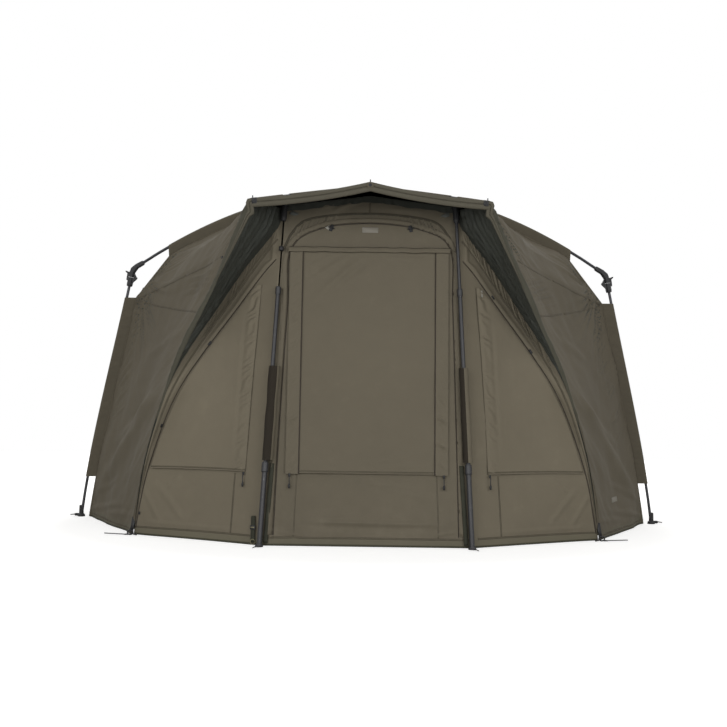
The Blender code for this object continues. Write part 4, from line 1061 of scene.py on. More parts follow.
hang_gore(
    "rear", rear_panel, shares, seams,
    four("rear_rib_left", "rear_rib_right", "rear_leg_left", "rear_leg_right"),
    four(["rib_rear_left"], ["rib_rear_right"], ["leg_rear_left"], ["leg_rear_right"]),
    "canopy_rear",
)

# %% [markdown]
# ## The peak over the door
#
# Two small gores meet at the centre rib and reach forward as a porch roof. Like the others they are one
# cloth, cut here into three: the middle rides on the centre rib and the sides on the corner ribs.

# %% Peak gores
PEAK_SAG = 0.010
PEAK_WIDE, PEAK_LONG = 81, 84
POLE_LEAN_IN = 0.0484


def peak_surface(u, v):
    """The porch roof: u from the left corner rib to the right one, v from the hub to the front."""
    u, v = np.broadcast_arrays(np.asarray(u, float), np.asarray(v, float))
    middle = under_rib("centre", v, RIBS["centre"][0], PEAK_DROP)
    left = under_rib("corner_left", v, RIBS["corner_left"][0], PEAK_DROP)
    right = under_rib("corner_right", v, RIBS["corner_right"][0], PEAK_DROP)
    w = np.abs(u - 0.5) * 2
    here = middle + (np.where((u < 0.5)[..., None], left, right) - middle) * w[..., None]
    here[..., 2] -= PEAK_SAG * 4 * w * (1 - w) * v
    return here


across_share, down_share = np.linspace(0, 1, PEAK_WIDE), np.linspace(0.012, 1.0, PEAK_LONG)
grid = Panel(peak_surface(across_share[None, :], down_share[:, None]), (0, -0.2, 1))
height = rumple(grid.flat, 0.22, 0.0014, 90)
for column in (0, PEAK_WIDE // 2, -1):
    away = grid.flat[..., 0] - grid.flat[:, column][:, None, 0]
    puckers = gathers(grid.flat[..., 1], away, 0.032, 0.0014, 0.03, 91 + column)
    height = height + held(puckers, away)
peak_panel = grid.pushed(height * np.clip((1 - down_share) / 0.05, 0, 1)[:, None], (0, -0.2, 1))


def at_pole_heads(points):
    return pole_head_gap(-1)(points) | pole_head_gap(1)(points)


quarter, middle_column = PEAK_WIDE // 4, PEAK_WIDE // 2
PEAK_PARTS = (
    ("left", "corner_rib_left", slice(0, quarter + 1), 0),
    ("centre", "centre_rib", slice(quarter, PEAK_WIDE - quarter), middle_column),
    ("right", "corner_rib_right", slice(PEAK_WIDE - quarter - 1, None), -1),
)
for word, body, columns, carrier in PEAK_PARTS:
    piece = cut_piece(f"peak_{word}", peak_panel, (CANOPY, LINING), columns=columns, leave_out=at_pole_heads)
    start, stop = peak_panel.points[2, carrier], peak_panel.points[-1, carrier]
    stands_for([piece], "canopy_peak")
    if word == "centre":
        gather_across([piece], body, start)
    else:
        gather_to([piece], body, start, stop, peak_panel.points[PEAK_LONG // 2, columns][quarter // 2])
    rib_name = "centre" if word == "centre" else f"corner_{word}"
    declared(piece, peak_panel, "stretched", [f"rib_{rib_name}"], columns=columns)

# %% [markdown]
# ## The turned hem across the peak and down the lips
#
# The front edge of the canopy is folded over and stitched. Across the porch it is a band two fingers wide
# in two steps, an upper rolled part and a lower lip, and at each corner it turns down and runs on as a
# narrowing lip. One section of fourteen points is swept along the whole edge. At the corners its
# direction is the mean of the two sides, as in a mitre.

# %% Path and section of the hem
HEM_WIDTH, HEM_RISE = 0.046, 0.022
PEAK_BAND, BAND_FADES_OVER = 0.034, 0.03
LIP_NARROWED, NARROWS_OVER = 0.60, 0.05
CORNER_TURN, LIP_END = 0.26, 0.62
HEM_SECTION = (
    (0.000, -0.0040), (0.0005, 0.0020), (0.004, 0.0050), (0.010, 0.0066), (0.0165, 0.0060), (0.0195, 0.0030),
    (0.0205, 0.0006), (0.0215, 0.0030), (0.0245, 0.0066), (0.032, 0.0078), (0.040, 0.0070), (0.0455, 0.0040),
    (0.0460, 0.0010), (0.041, -0.0010),
)


def hem_path(v):
    """The front edge from below the left corner, over the peak, to below the right corner."""
    v = np.asarray(v, float)
    left = corner_seam(-1, EDGE_SHARE + (1 - EDGE_SHARE) * CORNER_TURN * np.clip(1 - 3 * v, 0, 1))
    right = corner_seam(1, EDGE_SHARE + (1 - EDGE_SHARE) * CORNER_TURN * np.clip(3 * v - 2, 0, 1))
    top = peak_surface(np.clip(3 * v - 1, 0, 1), 1.0)
    return np.where((v < 1 / 3)[..., None], left, np.where((v > 2 / 3)[..., None], right, top))


def hem_grid(count):
    v = np.linspace(0, 1, count)
    here = hem_path(v)
    before, after = hem_path(np.maximum(0, v - 0.004)), hem_path(np.minimum(1, v + 0.004))
    into, out = here - before, after - here
    into[0], out[-1] = out[0], into[-1]
    way = into / np.linalg.norm(into, axis=1)[:, None] + out / np.linalg.norm(out, axis=1)[:, None]
    across = np.stack([way[:, 2], np.zeros(count), -way[:, 0]], axis=1)
    across /= np.linalg.norm(across, axis=1)[:, None]
    taper = np.where(np.abs(v - 0.5) > 1 / 6, 3 * np.minimum(v, 1 - v), 1.0)
    path_run = length_along(here, 0)
    deep, high = np.array(HEM_SECTION).T[:, None]
    from_peak = np.maximum(np.abs(v - 0.5) - 1 / 6, 0)
    on_peak = np.clip(1 - from_peak / BAND_FADES_OVER, 0, 1)
    on_lip = np.clip(from_peak / NARROWS_OVER, 0, 1)
    width = (0.05 + 0.95 * taper) * (1 - (1 - PEAK_BAND / HEM_WIDTH) * on_peak) * (1 - LIP_NARROWED * on_lip)
    ripple = 0.0012 * wobble(path_run / 0.030, 95)
    down = deep * width[:, None] + 0.0005 - HEM_RISE * on_peak[:, None]
    forward = high * (0.35 + 0.65 * taper)[:, None] + (ripple * taper)[:, None] * (deep / HEM_WIDTH)
    to_front = np.array([0, -1.0, 0]) * (forward + 0.0020)[..., None]
    return here[:, None] + across[:, None] * down[..., None] + to_front


HEM_ROWS = 361
hem = Panel(np.swapaxes(hem_grid(HEM_ROWS), 0, 1), (0, -1, 0))
third, twelfth = (HEM_ROWS - 1) // 3, (HEM_ROWS - 1) // 12
HEM_PARTS = (
    ("lip_left", "storm_pole_left", 0, third),
    ("hem_left", "corner_rib_left", third, third + twelfth),
    ("hem_centre", "centre_rib", third + twelfth, 2 * third - twelfth),
    ("hem_right", "corner_rib_right", 2 * third - twelfth, 2 * third),
    ("lip_right", "storm_pole_right", 2 * third, 3 * third),
)
# %% Ride on a storm pole
# A level direction along the side walls' slant, outward and back, and how far each pole leans back
POLE_FOLD = (0.82, 0.57)
POLE_LEAN_BACK = 0.1507


def pole_line(side, height):
    """The axis of a storm pole at a height."""
    reach = POLE_FOOT_X - POLE_LEAN_IN * height
    return np.array([side * reach, FRONT_LINE + POLE_LEAN_BACK * height, height])


def gather_to_pole(pieces, side, along_door=False, body=None):
    """Pieces ride on a storm pole, or on the body given instead."""
    axis = (1, 0, 0) if along_door else (side * POLE_FOLD[0], POLE_FOLD[1], 0)
    pole = "storm_pole_left" if side < 0 else "storm_pole_right"
    gather_across(pieces, body or pole, pole_line(side, 0.6))


def front_cloth(name, panel, finishes, node, held_by, rests_on, side=-1, along_door=True, thick=CLOTH):
    """A whole panel as a cloth of the front, which rides on a storm pole."""
    piece = cut_piece(name, panel, finishes, thick=thick)
    stands_for([piece], node)
    declared(piece, panel, held_by, rests_on)
    gather_to_pole([piece], side, along_door)


def sewn_on(name, parts, finishes, node, slot="canopy_cloth", side=-1, along_door=True):
    """Strips or shells as one piece of the front, which rides on a storm pole."""
    made = joined(name, parts, finishes)
    stands_for([made], node)
    gather_to_pole([made], side, along_door)


# %% Cut the hem and hang its parts
for name, body, first, last in HEM_PARTS:
    kind, _, word = name.partition("_")
    columns, side = slice(first, last + 1), dict(SIDES).get(word)
    piece = cut_piece(name, hem, (EDGE_CLOTH, EDGE_CLOTH), columns=columns)
    stands_for([piece], "peak_hem")
    if kind == "lip":
        gather_to_pole([piece], side)
    elif word == "centre":
        gather_across([piece], body, hem_path(0.5))
    else:
        start, stop = spot(f"corner_{word}", 0.2, 1.40), hem_path(0.5 + side / 6)
        gather_to([piece], body, start, stop, hem_path(0.5 + side / 12))
    sewn_to = f"canopy_side_{word}" if kind == "lip" else "canopy_peak"
    declared(piece, hem, "stretched", [sewn_to], columns=columns)

# %% [markdown]
# ## The rolled edge of each wall
#
# Below the corners the walls' front edge is turned back and stitched, so that it stands a finger's
# thickness proud and narrows to nothing above the knee. It is the wall's own surface, lifted: each row of
# the wall's grid gives a few points near its edge, a half wave lifts them, and the first point wraps
# round the edge.

# %% Rolled edges
ROLL_WIDE, ROLL_HIGH, ROLL_STEPS = 0.064, 0.010, 11


def picked(wall, values, rows, reach):
    """Values of a wall's grid at distances in from its edge, row by row."""
    found = [[np.interp(far, wall.flat[row, :, 0], values[row, :, axis]) for axis in range(3)]
             for far, row in zip(reach, rows)]
    return np.swapaxes(np.array(found), 1, 2)


for word, side in SIDES:
    wall, shares = WALLS[word], WALL_ROWS[word]
    first, last = row_of(shares, EDGE_SHARE), row_of(shares, EDGE_SHARE + (1 - EDGE_SHARE) * LIP_END)
    fade = 1 - 0.96 * np.linspace(0, 1, last - first + 1)[:, None] ** 3
    across = np.concatenate([[0.0], np.linspace(0, 1, ROLL_STEPS)])[None, :]
    rows, reach = range(first, last + 1), across * ROLL_WIDE * fade
    edge_points = picked(wall, wall.points, rows, reach)
    edge_normals = picked(wall, wall.normals, rows, reach)
    run = length_along(edge_points, 0)[:, :1]
    lift = ROLL_HIGH * fade * np.sin(math.pi * across**0.75) + 0.0016
    lift = lift + 0.0012 * wobble(run / 0.035, 97 + side) * across
    lift[:, 0] = -0.0045
    rolled = Panel(edge_points + edge_normals * lift[..., None], (side, -0.5, 0.3))
    # The roll's dark green is partly painted shade
    roll = cut_piece(f"lip_roll_{word}", rolled, (LIP_CLOTH, LINING))
    stitch_strip = strip_of(rolled.points[:, -3], rolled.normals[:, -3], SEAM_WIDE * 0.6)
    stitches = joined(f"lip_roll_seam_{word}", [stitch_strip], [SEAM])
    stands_for([roll, stitches], f"canopy_side_{word}")
    gather_to_pole([roll, stitches], side)
    declared(roll, rolled, "stretched", [f"canopy_side_{word}"], [stitches])

# %% [markdown]
# ## Rib and leg sleeves
#
# Each rib slides into a long pocket that is sewn to the canopy's seam, so the cloth hangs a few
# centimetres below the tube like a fin. Seen from its end the pocket is a teardrop: two layers that leave
# the seam together and part round the tube. Lofting that teardrop along the rib is exact and cheap. The
# layers pucker a little where the stitching holds them.

# %% Loft a teardrop sleeve
SLEEVE_RADIUS = 0.0085
FIN_POINTS, ROUND_POINTS = 4, 9


def teardrop(centres, seams, side_way, seed, radius=SLEEVE_RADIUS):
    """The panel of a sleeve, from the seam up one side, round the tube and down the other side."""
    up = centres - seams
    reach = np.linalg.norm(up, axis=1, keepdims=True)
    up = up / reach
    opening = np.arccos(np.clip(radius / reach[:, 0], -1, 1))[:, None]
    angle = opening + (math.tau - 2 * opening) * np.linspace(0, 1, ROUND_POINTS)[None, :]
    round_up, round_side = -np.cos(angle) * radius, np.sin(angle) * radius
    arc = centres[:, None] + up[:, None] * round_up[..., None] + side_way * round_side[..., None]
    share = (np.arange(FIN_POINTS) / FIN_POINTS)[None, :, None]
    pucker = 0.0016 * wobble(length_along(centres, 0) / 0.022, seed)[:, None, None]
    pucker = pucker * np.sin(math.pi * share) * side_way
    near, far = seams + side_way * 0.0007, seams - side_way * 0.0007
    first = near[:, None] + (arc[:, :1] - near[:, None]) * share + pucker
    second = far[:, None] + (arc[:, -1:] - far[:, None]) * share + pucker
    return Panel(np.concatenate([first, arc, second[:, ::-1]], axis=1), up[len(up) // 2])


def hang_sleeve(name, centres, seams, side_way, seed, body, node, holder):
    panel = teardrop(centres, seams, side_way, seed)
    piece = cut_piece(name, panel, (SLEEVE, SLEEVE), thick=0.0007)
    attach(piece, body)
    stands_for([piece], node)
    declared(piece, panel, "stretched", [holder])


CORNER_RUNS = ((0.100, 0.615), (0.667, 0.8376))
RIB_RUNS = {
    "centre": ((0.100, 0.766),),
    "corner": CORNER_RUNS,
    "side": ((0.100, SLEEVE_END["side"]),),
    "rear": ((0.100, SLEEVE_END["rear"]),),
}
SLEEVE_NODES = {
    "centre": "canopy_peak",
    "corner": "canopy_peak",
    "side": "canopy_side_{}",
    "rear": "canopy_quarter_{}",
}
seed = 200
for rib in RIBS:
    kind, _, word = rib.partition("_")
    end = SLEEVE_END[kind] if rib in LEGGED else RIBS[rib][0]
    drop = SLEEVE_DEEP if rib in LEGGED else PEAK_DROP
    node = SLEEVE_NODES[kind].format(word)
    body = "centre_rib" if kind == "centre" else f"{kind}_rib_{word}"
    for number, (start, stop) in enumerate(RIB_RUNS[kind]):
        reach = np.linspace(start, stop, max(8, round((stop - start) / 0.008)))
        seams = under_rib(rib, reach / end, end, drop)
        seed += 1
        name = f"sleeve_{rib}" + (f"_{number + 1}" if number else "")
        centres = spot(rib, reach, rib_height(rib, reach))
        hang_sleeve(name, centres, seams, crosswise(rib), seed, body, node, f"rib_{rib}")
    if rib in LEGGED:
        height = np.linspace(0.180, LEG_SLEEVE_TOP[kind], 100)
        share = (LEG_SLEEVE_TOP[kind] - height) / (LEG_SLEEVE_TOP[kind] - GROUND_GAP)
        seams = leg_seam(rib, share)
        centres = spot(rib, leg_reach(rib, seams[:, 2]), seams[:, 2])
        name, leg_body = f"sleeve_leg_{rib}", f"{kind}_leg_{word}"
        hang_sleeve(name, centres, seams, crosswise(rib), seed + 40, leg_body, node, f"leg_{rib}")
print("sleeves on", len(RIBS), "ribs and", len(LEGGED), "legs")

# %% [markdown]
# ## The front, as flat facets
#
# The door and the two side panels are flat cloths stretched between the storm poles, the ground and the
# canopy. Points on them are written as a person in front sees them, by distance from the middle line and
# height, and a facet gives the depth: the door leans back a little, and each side panel turns back from
# its pole as well.

# %% Points on the facets
FRONT_FOOT_DEPTH, FRONT_LEAN, SIDE_FACET_SLOPE = 0.027, 0.145, 0.60
DOOR_TOP, DOOR_CORNER_TOP, SIDE_PANEL_TOP = 1.338, 1.296, 1.278
SEAM_INSET = 0.003
# Border between side panel and reveal, as (reach, height) from the ground to the pole head
BORDER = (
    (0.922, 0.0), (0.866, 0.30), (0.773, 0.58), (0.697, 0.74), (0.603, 0.896), (0.496, 1.051), (0.431, 1.127),
    (0.360, 1.210),
)


def pole_x(height):
    return POLE_FOOT_X - POLE_LEAN_IN * np.asarray(height, float)


def door_at(x, height, forward=0.0):
    x, height, forward = np.broadcast_arrays(x, height, forward)
    return np.stack([x, FRONT_LINE + FRONT_FOOT_DEPTH + FRONT_LEAN * height - forward, height], axis=-1)


def facet_depth(reach, height):
    """How far the plane of a side panel stands behind the front line."""
    return FRONT_FOOT_DEPTH + FRONT_LEAN * height + SIDE_FACET_SLOPE * (reach - pole_x(height))


def facet_at(side, reach, height, forward=0.0):
    reach, height, forward = np.broadcast_arrays(reach, height, forward)
    depth = facet_depth(reach, height) - forward
    return np.stack([side * reach, FRONT_LINE + depth, height], axis=-1)


# %% [markdown]
# ## The door
#
# One cloth fills the space between the poles. It carries an arched zip, a rain flap beside the zip, and
# above the arch a second seam with the fullness of the cloth gathered between the two. Down each side,
# between zip and pole, the cloth hangs in two long upright folds.

# %% Lines and folds of the door
ARCH = (
    (-0.346, 0.040), (-0.331, 0.46), (-0.311, 0.90), (-0.303, 1.120), (-0.196, 1.204), (0.0, 1.229),
    (0.201, 1.205), (0.312, 1.130), (0.322, 0.90), (0.335, 0.46), (0.346, 0.040),
)
UPPER_SEAM = (
    (-0.333, 1.120), (-0.300, 1.190), (-0.245, 1.240), (-0.12, 1.262), (0.0, 1.268), (0.12, 1.262),
    (0.245, 1.240), (0.300, 1.190), (0.333, 1.120),
)
DOOR_FACING = (0, -1, 0)
DOOR_CREASES = (
    ((-0.26, 0.092), (0.31, 0.086), 0.0060, 0.010),
    ((-0.22, 0.070), (0.34, 0.066), -0.0030, 0.010),
    ((-0.05, 0.245), (0.20, 0.212), 0.0022, 0.014),
    ((0.02, 0.225), (0.26, 0.170), 0.0018, 0.014),
    ((-0.150, 1.275), (-0.020, 1.330), 0.0050, 0.012),
    ((-0.200, 1.285), (-0.100, 1.315), 0.0030, 0.010),
    ((0.050, 1.290), (0.220, 1.280), 0.0020, 0.012),
    ((-0.340, 0.055), (-0.240, 0.040), 0.0035, 0.008),
    ((0.340, 0.060), (0.250, 0.045), 0.0035, 0.008),
)
# Upright folds beside the zip: how far out from it, how high and how wide
ZIP_FOLDS = ((0.013, 0.0060, 0.0062), (0.0305, 0.0045, 0.0060), (-0.012, 0.0020, 0.0060))


def arc_height(points, x):
    """Height of an arched line over each x."""
    line = smooth(points, np.linspace(0, 1, 400))
    top = line[line[:, 1] > 1.10]
    return np.interp(x, top[:, 0], top[:, 1])


def door_folds(x, z):
    here = np.stack([x, z], axis=-1)
    height = rumple(here, 0.42, 0.0026, 101) + rumple(here, 0.12, 0.0006, 102)
    height = with_creases(height, here, DOOR_CREASES)
    low, high = arc_height(ARCH, x), arc_height(UPPER_SEAM, x)
    between = (z - (low + high) / 2) / np.maximum((high - low) / 2, 0.004)
    fullness = hump(np.abs(x), 0.205, 0.085) + 0.25
    slant = x + 0.5 * np.sign(x) * (z - low)
    height += 0.0042 * fullness * np.clip(1 - between**2, 0, 1) * wobble(slant / 0.017, 103)
    zip_x = 0.3475 - 0.028 * z
    for offset, high_fold, wide in ZIP_FOLDS:
        upright = hump(np.abs(x) - zip_x, offset * (0.6 + 0.4 * z), wide)
        shown = np.clip((1.16 - z) / 0.15, 0, 1)
        height += high_fold * upright * shown * (0.75 + 0.25 * wobble(z / 0.16, 104))
    height += 0.0012 * (hump(np.abs(x) - zip_x, 0.02, 0.022) * wobble(z / 0.028, 105))
    belly = np.cos(np.clip(x / 0.36, -1, 1) * math.pi / 2) * np.sin(math.pi * np.clip(z / 1.3, 0, 1))
    return height - 0.004 * belly


# %% Hang the door's cloth
DOOR_ROWS, DOOR_COLUMNS = 236, 144
share_up, share_side = np.linspace(1, 0, DOOR_ROWS)[:, None], np.linspace(-1, 1, DOOR_COLUMNS)[None, :]
top = DOOR_TOP - (DOOR_TOP - DOOR_CORNER_TOP) * np.abs(share_side)
door_z = GROUND_GAP + share_up * (top - GROUND_GAP)
door_x = share_side * (pole_x(door_z) - SEAM_INSET)
edge_hold = np.clip(np.minimum(1 - np.abs(share_side), share_up * 4 + 0.3) / 0.03, 0, 1)
edge_hold = edge_hold * np.clip((1 - share_up) / 0.02, 0, 1)
flat_door = Panel(door_at(door_x, door_z), DOOR_FACING)
door = flat_door.pushed(door_folds(door_x, door_z) * edge_hold, DOOR_FACING)
door_poles = ["pole_upper_left", "pole_upper_right"]
front_cloth("door_cloth", door, (DOOR_CLOTH, LINING), "door_panel", "stretched", door_poles)


# %% Dark flap that hangs from the roof over the door's top, a sheet of painted shade under the porch
FLAP_DEEP = 0.024
share = np.linspace(0, 1, 8)[:, None]
x = np.broadcast_to(door_x[:1], (8, DOOR_COLUMNS))
z = door_z[:1] - share * (FLAP_DEEP + 0.002 * wobble(x / 0.09, 106))
flat = Panel(door_at(x, z, 0.0045), DOOR_FACING)
head_panel = flat.pushed(0.0020 * share * wobble(x / 0.030, 107), DOOR_FACING)
# A dark lining sheet that paints the porch roof's shadow on the door's top
front_cloth("door_head_flap", head_panel, (LINING, LINING), "door_panel", "hung", ["door_panel"])


# %% Zip, rain flap and seams on the door
def sideways(line, normals, distance):
    """The same line moved over the cloth, square to its own run."""
    return line + unit(np.cross(np.gradient(line, axis=0), normals)) * distance


FLAP_SECTION = ((-0.5, 0.15), (-0.5, 1.0), (-0.1, 0.95), (0.3, 0.45), (0.5, 0.0))
arch_line, arch_normals, _ = seen_on(door, ARCH, 1, 200)
seam_line, seam_normals, _ = seen_on(door, UPPER_SEAM, 1, 90)
zip_strip = strip_of(arch_line, arch_normals, ZIP_WIDE, 0.0014)
sewn_on("door_arch_zip", [zip_strip], [ZIP], "door_zip", "zip_tape")
flap_line = sideways(arch_line, arch_normals, -0.0125)
flap_strip = strip_of(flap_line, arch_normals, 0.019, 0.0042, section=FLAP_SECTION)
sewn_on("door_rain_flap", [flap_strip], [DOOR_CLOTH], "door_panel")
middle_line, middle_normals, _ = seen_on(door, ((0.0, 1.272), (0.0, 1.30), (0.0, 1.332)), 1, 12)
band_line, band_normals, _ = seen_on(door, ((-0.385, 0.032), (0.0, 0.032), (0.385, 0.032)), 1, 90)
seam_strips = [
    strip_of(seam_line, seam_normals, 0.010, slot=1),
    strip_of(middle_line, middle_normals, SEAM_WIDE),
]
for x in (-0.262, 0.262):
    line, normals, _ = seen_on(door, ((x, 0.268), (x * 1.02, 0.14), (x * 1.03, 0.034)), 1, 30)
    seam_strips.append(strip_of(line, normals, 0.006, 0.0005))
seam_strips.append(strip_of(band_line, band_normals, SEAM_WIDE))
sewn_on("door_seams", seam_strips, [SEAM, SEAM_DARK], "door_panel")

# %% [markdown]
# ## The window cover
#
# A plain cloth is zipped over the door's window. It hangs free along its bottom edge. A strip down each
# side hides the zip, and only a thin dark line of it shows at the strip's inner edge. The cover's top
# edge is tucked under a narrow flap.

# %% Window cover, its two strips and its top flap
WINDOW_LOW, WINDOW_HIGH, WINDOW_HALF, STRIP_INNER = 0.270, 1.120, 0.305, 0.257
COVER_CREASES = (
    ((-0.235, 0.90), (-0.020, 1.105), 0.0040, 0.022),
    ((-0.200, 0.93), (0.020, 1.100), -0.0026, 0.016),
    ((-0.235, 1.00), (-0.080, 1.100), 0.0030, 0.014),
    ((-0.235, 1.06), (-0.120, 1.110), 0.0022, 0.010),
    ((0.060, 1.095), (0.240, 1.085), 0.0030, 0.012),
    ((-0.050, 0.310), (0.160, 0.330), 0.0020, 0.012),
    ((0.020, 0.295), (0.220, 0.300), 0.0022, 0.010),
    ((-0.180, 0.330), (-0.080, 0.285), 0.0014, 0.010),
)


def cover_cloth(name, x, z, forward, folds):
    """A cloth laid in front of the door, over given x and z grids."""
    flat = Panel(door_at(x, z, forward), DOOR_FACING)
    panel = flat.pushed(door_folds(x, z) * 0.6 + folds, DOOR_FACING)
    front_cloth(name, panel, (COVER, LINING), "door_window_cover", "hung", ["door_panel"], thick=0.0008)
    return panel


rows = np.linspace(WINDOW_HIGH + 0.010, WINDOW_LOW, 120)[:, None]
x, z = np.broadcast_arrays(np.linspace(-0.275, 0.275, 92)[None, :], rows)
here = np.stack([x, z], -1)
folds = with_creases(rumple(here, 0.30, 0.0016, 110), here, COVER_CREASES)
free_foot = 0.0030 * np.exp(-((z - WINDOW_LOW) / 0.020))
folds = folds + free_foot * (0.8 + 0.3 * wobble(x / 0.10, 111))
cover = cover_cloth("window_cover", x, z, 0.0075, folds)
strips = []
for word, side in SIDES:
    rows = np.linspace(WINDOW_HIGH + 0.006, WINDOW_LOW - 0.003, 150)[:, None]
    columns = np.linspace(0, 1, 12)[None, :]
    x = side * (STRIP_INNER + (WINDOW_HALF - STRIP_INNER) * columns) * np.ones_like(rows)
    z = rows * np.ones_like(x)
    low_down = 0.35 + 0.65 * hump(z, 0.38, 0.20)
    slant = (z + 0.9 * np.abs(x)) / 0.034 + 0.6 * wobble(z / 0.12, 117 + side)
    folds = 0.0042 * (wobble(slant, 112 + side) * np.sin(math.pi * columns)) * low_down
    panel = cover_cloth(f"window_strip_{word}", x, z, 0.0105, folds)
    edge_points, edge_normals = beside(panel, 0, -0.0016)
    strips.append(strip_of(edge_points, edge_normals, 0.0048, 0.0010))
sewn_on("window_cover_zips", strips, [ZIP], "door_window_cover", "zip_tape")
tuck = np.linspace(-0.312, 0.312, 120)
tuck_height = WINDOW_HIGH + 0.004 + 0.0015 * wobble(tuck / 0.08, 115)
tuck_line = door_at(tuck, tuck_height, 0.0128 + 0.0010 * wobble(tuck / 0.06, 116))
tuck_normals = np.broadcast_to(flat_door.normals[60, 60], tuck_line.shape)
tuck_section = ((-0.5, 0.0), (-0.3, 0.55), (0.3, 1.0), (0.5, 0.9), (0.5, 0.1))
tuck_strip = strip_of(tuck_line, tuck_normals, 0.020, 0.0052, section=tuck_section)
sewn_on("window_top_flap", [tuck_strip], [DOOR_CLOTH], "door_window_cover")
foot_line, foot_normals = below(cover, -1, 0.007)
sewn_on("window_cover_hem", [strip_of(foot_line, foot_normals, 0.006, 0.0008)], [SEAM], "door_window_cover")

# %% [markdown]
# ## The side panels
#
# Each side panel runs from its pole back to the canopy. A long curved zip crosses it. Outside the zip
# there is a smooth strip, a seam, and then a margin where the fullness of the cloth is gathered against
# the dark flap that closes the gap to the canopy's edge.

# %% Lines and folds of a side panel
SIDE_ZIP = ((0.908, 0.03), (0.854, 0.265), (0.754, 0.529), (0.624, 0.747), (0.428, 1.008), (0.360, 1.085))
MARGIN_SEAM = ((0.913, 0.03), (0.858, 0.290), (0.759, 0.565), (0.627, 0.800), (0.455, 1.040), (0.357, 1.165))
COVER_INNER_LINE = ((0.460, 0.270), (0.443, 0.60), (0.415, 1.000))
SIDE_PANEL_CREASES = (
    ((0.80, 0.255), (0.56, 0.330), 0.0018, 0.016),
    ((0.83, 0.220), (0.70, 0.060), 0.0026, 0.016),
    ((0.88, 0.200), (0.80, 0.050), 0.0030, 0.014),
    ((0.72, 0.250), (0.78, 0.190), 0.0024, 0.012),
    ((0.90, 0.055), (0.45, 0.050), 0.0030, 0.010),
)
# The height below which the panel's border comes forward, and over how much it does so
FORWARD_BELOW, FORWARD_OVER = 0.95, 0.40


def border_at(height):
    """Reach of the panel's outer border: along the border line, then in to the pole's top."""
    reach = reach_at(BORDER, np.minimum(height, BORDER[-1][1]))
    to_top = np.clip((height - BORDER[-1][1]) / (SIDE_PANEL_TOP - BORDER[-1][1]), 0, 1)
    return reach + (pole_x(SIDE_PANEL_TOP) + SEAM_INSET + 0.004 - BORDER[-1][0]) * to_top - 0.004


def distance_to(points, reach, height):
    """Signed distance outward, roughly, from a line that rises as it comes in."""
    line_reach = reach_at(points, height)
    ahead = reach_at(points, height + 0.01)
    slope = (ahead - line_reach) / 0.01
    return (reach - line_reach) / np.sqrt(1 + slope**2)


def brought_forward(reach, z):
    """How far the panel's outer part comes forward, low down, so that it meets the wall's edge."""
    inner, border = pole_x(z) + SEAM_INSET, border_at(z)
    share = np.clip((reach - inner) / np.maximum(border - inner, 0.01), 0, 1)
    gap = np.maximum(facet_depth(border, z) - edge_depth(z), 0)
    low = np.clip((FORWARD_BELOW - z) / FORWARD_OVER, 0, 1)
    return share**3 * gap * low * low * (3 - 2 * low)


def side_panel_folds(side, reach, z):
    here = np.stack([reach, z], axis=-1)
    seed = 120 + side * 3
    height = rumple(here, 0.40, 0.0030, seed) + rumple(here, 0.11, 0.0006, seed + 1)
    from_zip, from_seam = distance_to(SIDE_ZIP, reach, z), distance_to(MARGIN_SEAM, reach, z)
    margin = np.clip(from_seam / 0.008, 0, 1)
    run = reach * 1.3 + z * 0.35
    fullness = (0.0038 if side > 0 else 0.0026) * (0.45 + 0.55 * hump(z, 0.85, 0.28))
    height += fullness * margin * wobble(run / 0.0135, seed + 2)
    flap = hump(from_zip, 0.012, 0.0085) * 0.0050 + hump(from_seam, 0.004, 0.006) * 0.0035
    return with_creases(height + flap, here, SIDE_PANEL_CREASES)


# %% Sew each side panel with its zip, seams and window cover
PANEL_ROWS, PANEL_COLUMNS = 214, 92
SIDE_COVER_TOP, SIDE_COVER_FOOT = 0.985, 0.270
SIDE_COVER_ROWS, SIDE_COVER_COLUMNS = 110, 60
SIDE_COVER_CREASES = (
    ((0.505, 0.30), (0.475, 0.90), -0.0020, 0.012),
    ((0.74, 0.30), (0.62, 0.72), 0.0018, 0.03),
)
